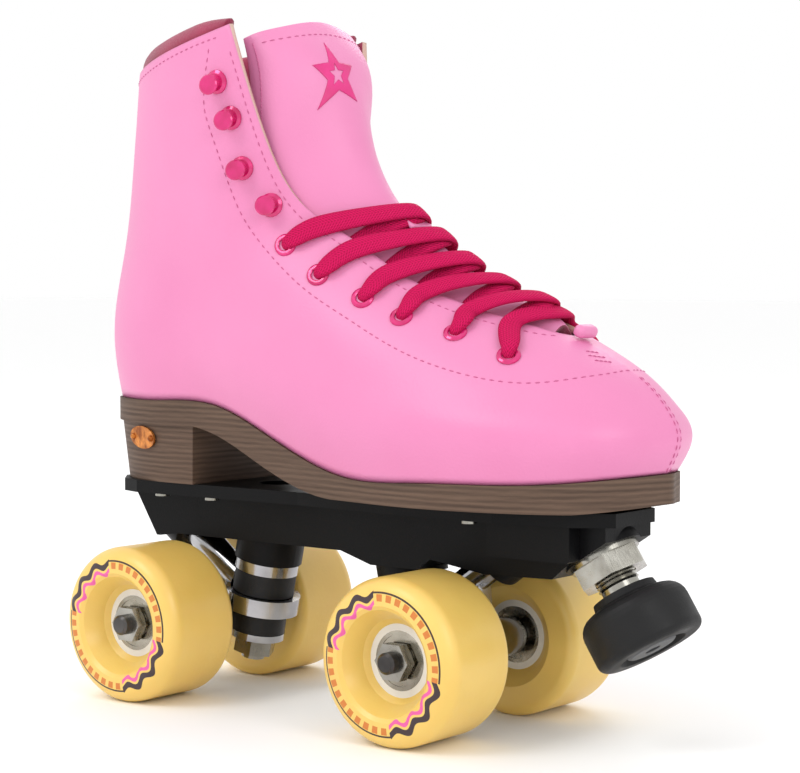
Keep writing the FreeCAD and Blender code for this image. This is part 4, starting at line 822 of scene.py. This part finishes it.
black_rubber = rubber_finish("black_rubber", tint(20, 20, 21), tint(10, 10, 11))
for end in ("rear", "front"):
    dress(end + "_upper_cushion", black_rubber)
    dress(end + "_lower_cushion", black_rubber)
dress("pivot_cups", black_rubber)
dress("toe_stop_rubber", rubber_finish("stopper_rubber", tint(19, 19, 20), tint(9, 9, 10), 0.1))
dress("toe_stop_cap", rubber_finish("grey_cap", tint(98, 99, 101), tint(66, 67, 69)))

# Wheels. Cast cream-yellow urethane on a white moulded hub, with shielded bearings. A printed
# ring of dashes, a wave and fine lines goes round each outer face.
hub_white = Finish("white_hub", tint(232, 230, 222), 0.4)
parts = hub_white.group(grain, Place=hub_white.place, Fine=900.0, Broad=60.0)
hub_white.colour(hub_white.mix(parts.outputs["Patch"], tint(214, 210, 200), tint(240, 238, 232)))
hub_white.bump(parts.outputs["Height"], 0.00005, 0.5)


FACE_FROM = 0.0535                   # an outer face lies this far from the skate's centre plane
PRINT_DASHES, PRINT_WAVES, WAVE_HIGH = 36.0, 16.0, 0.0011


def wheel_finish(name, centre):
    finish = Finish(name, tint(234, 197, 102), 0.34, Specular_IOR_Level=0.5, Coat_Weight=0.15,
                    Coat_Roughness=0.25, Subsurface_Weight=0.08, Subsurface_Scale=0.004)
    parts = finish.node("ShaderNodeSeparateXYZ", {"Vector": finish.place})
    x = finish.math("SUBTRACT", parts.outputs["X"], centre[0])
    z = finish.math("SUBTRACT", parts.outputs["Z"], centre[2])
    squares = finish.math("ADD", finish.math("MULTIPLY", x, x), finish.math("MULTIPLY", z, z))
    reach = finish.math("SQRT", squares)
    turn = finish.math("ARCTAN2", z, x)
    face = finish.math("GREATER_THAN", finish.math("ABSOLUTE", parts.outputs["Y"]), FACE_FROM)

    def round_and_round(count):
        """Rises and falls that many times round the wheel."""
        return finish.math("SINE", finish.math("MULTIPLY", turn, count))

    def band(middle, half, wave=None):
        """A printed ring, that far from the axle and that far to each side of it."""
        place = finish.math("ADD", middle, wave) if wave is not None else middle
        off = finish.math("ABSOLUTE", finish.math("SUBTRACT", reach, place))
        return finish.math("MULTIPLY", finish.math("LESS_THAN", off, half), face)

    dash = finish.math("GREATER_THAN", round_and_round(PRINT_DASHES), -0.3)
    arc = finish.math("GREATER_THAN", round_and_round(2.0), -0.3)
    rest = finish.math("SUBTRACT", 1.0, arc)
    wave = finish.math("MULTIPLY", round_and_round(PRINT_WAVES), WAVE_HIGH)
    dashes = finish.math("MULTIPLY", finish.math("MULTIPLY", band(0.0240, 0.0013), dash), arc)
    lines = finish.math("MULTIPLY", band(0.0259, 0.00035), arc)
    waves = finish.math("MULTIPLY", band(0.0217, 0.0008, wave), rest)
    leaf = finish.math("MULTIPLY", band(0.0247, 0.0012, wave), rest)
    cloud = finish.group(grain, Place=finish.place, Fine=600.0, Broad=45.0)
    base = finish.mix(cloud.outputs["Patch"], tint(228, 188, 92), tint(240, 205, 112))
    base = finish.mix(dashes, base, tint(208, 122, 46))
    base = finish.mix(lines, base, tint(60, 40, 32))
    base = finish.mix(leaf, base, tint(52, 34, 40))
    base = finish.mix(waves, base, tint(226, 90, 160))
    finish.colour(base)
    finish.rough(finish.between(cloud.outputs["Patch"], 0.3, 0.7, 0.3, 0.42))
    finish.bump(cloud.outputs["Height"], 0.00006, 0.5)
    return finish.material


for end in ("rear", "front"):
    for side in ("outer", "inner"):
        wheel = "wheel_" + end + "_" + side
        low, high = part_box(wheel + "_tyre")
        dress(wheel + "_tyre", wheel_finish(wheel + "_urethane", (low + high) / 2))
        dress(wheel + "_hub", hub_white.material)
        dress(wheel + "_bearing_shells", race_steel)
        dress(wheel + "_bearing_balls", race_steel)
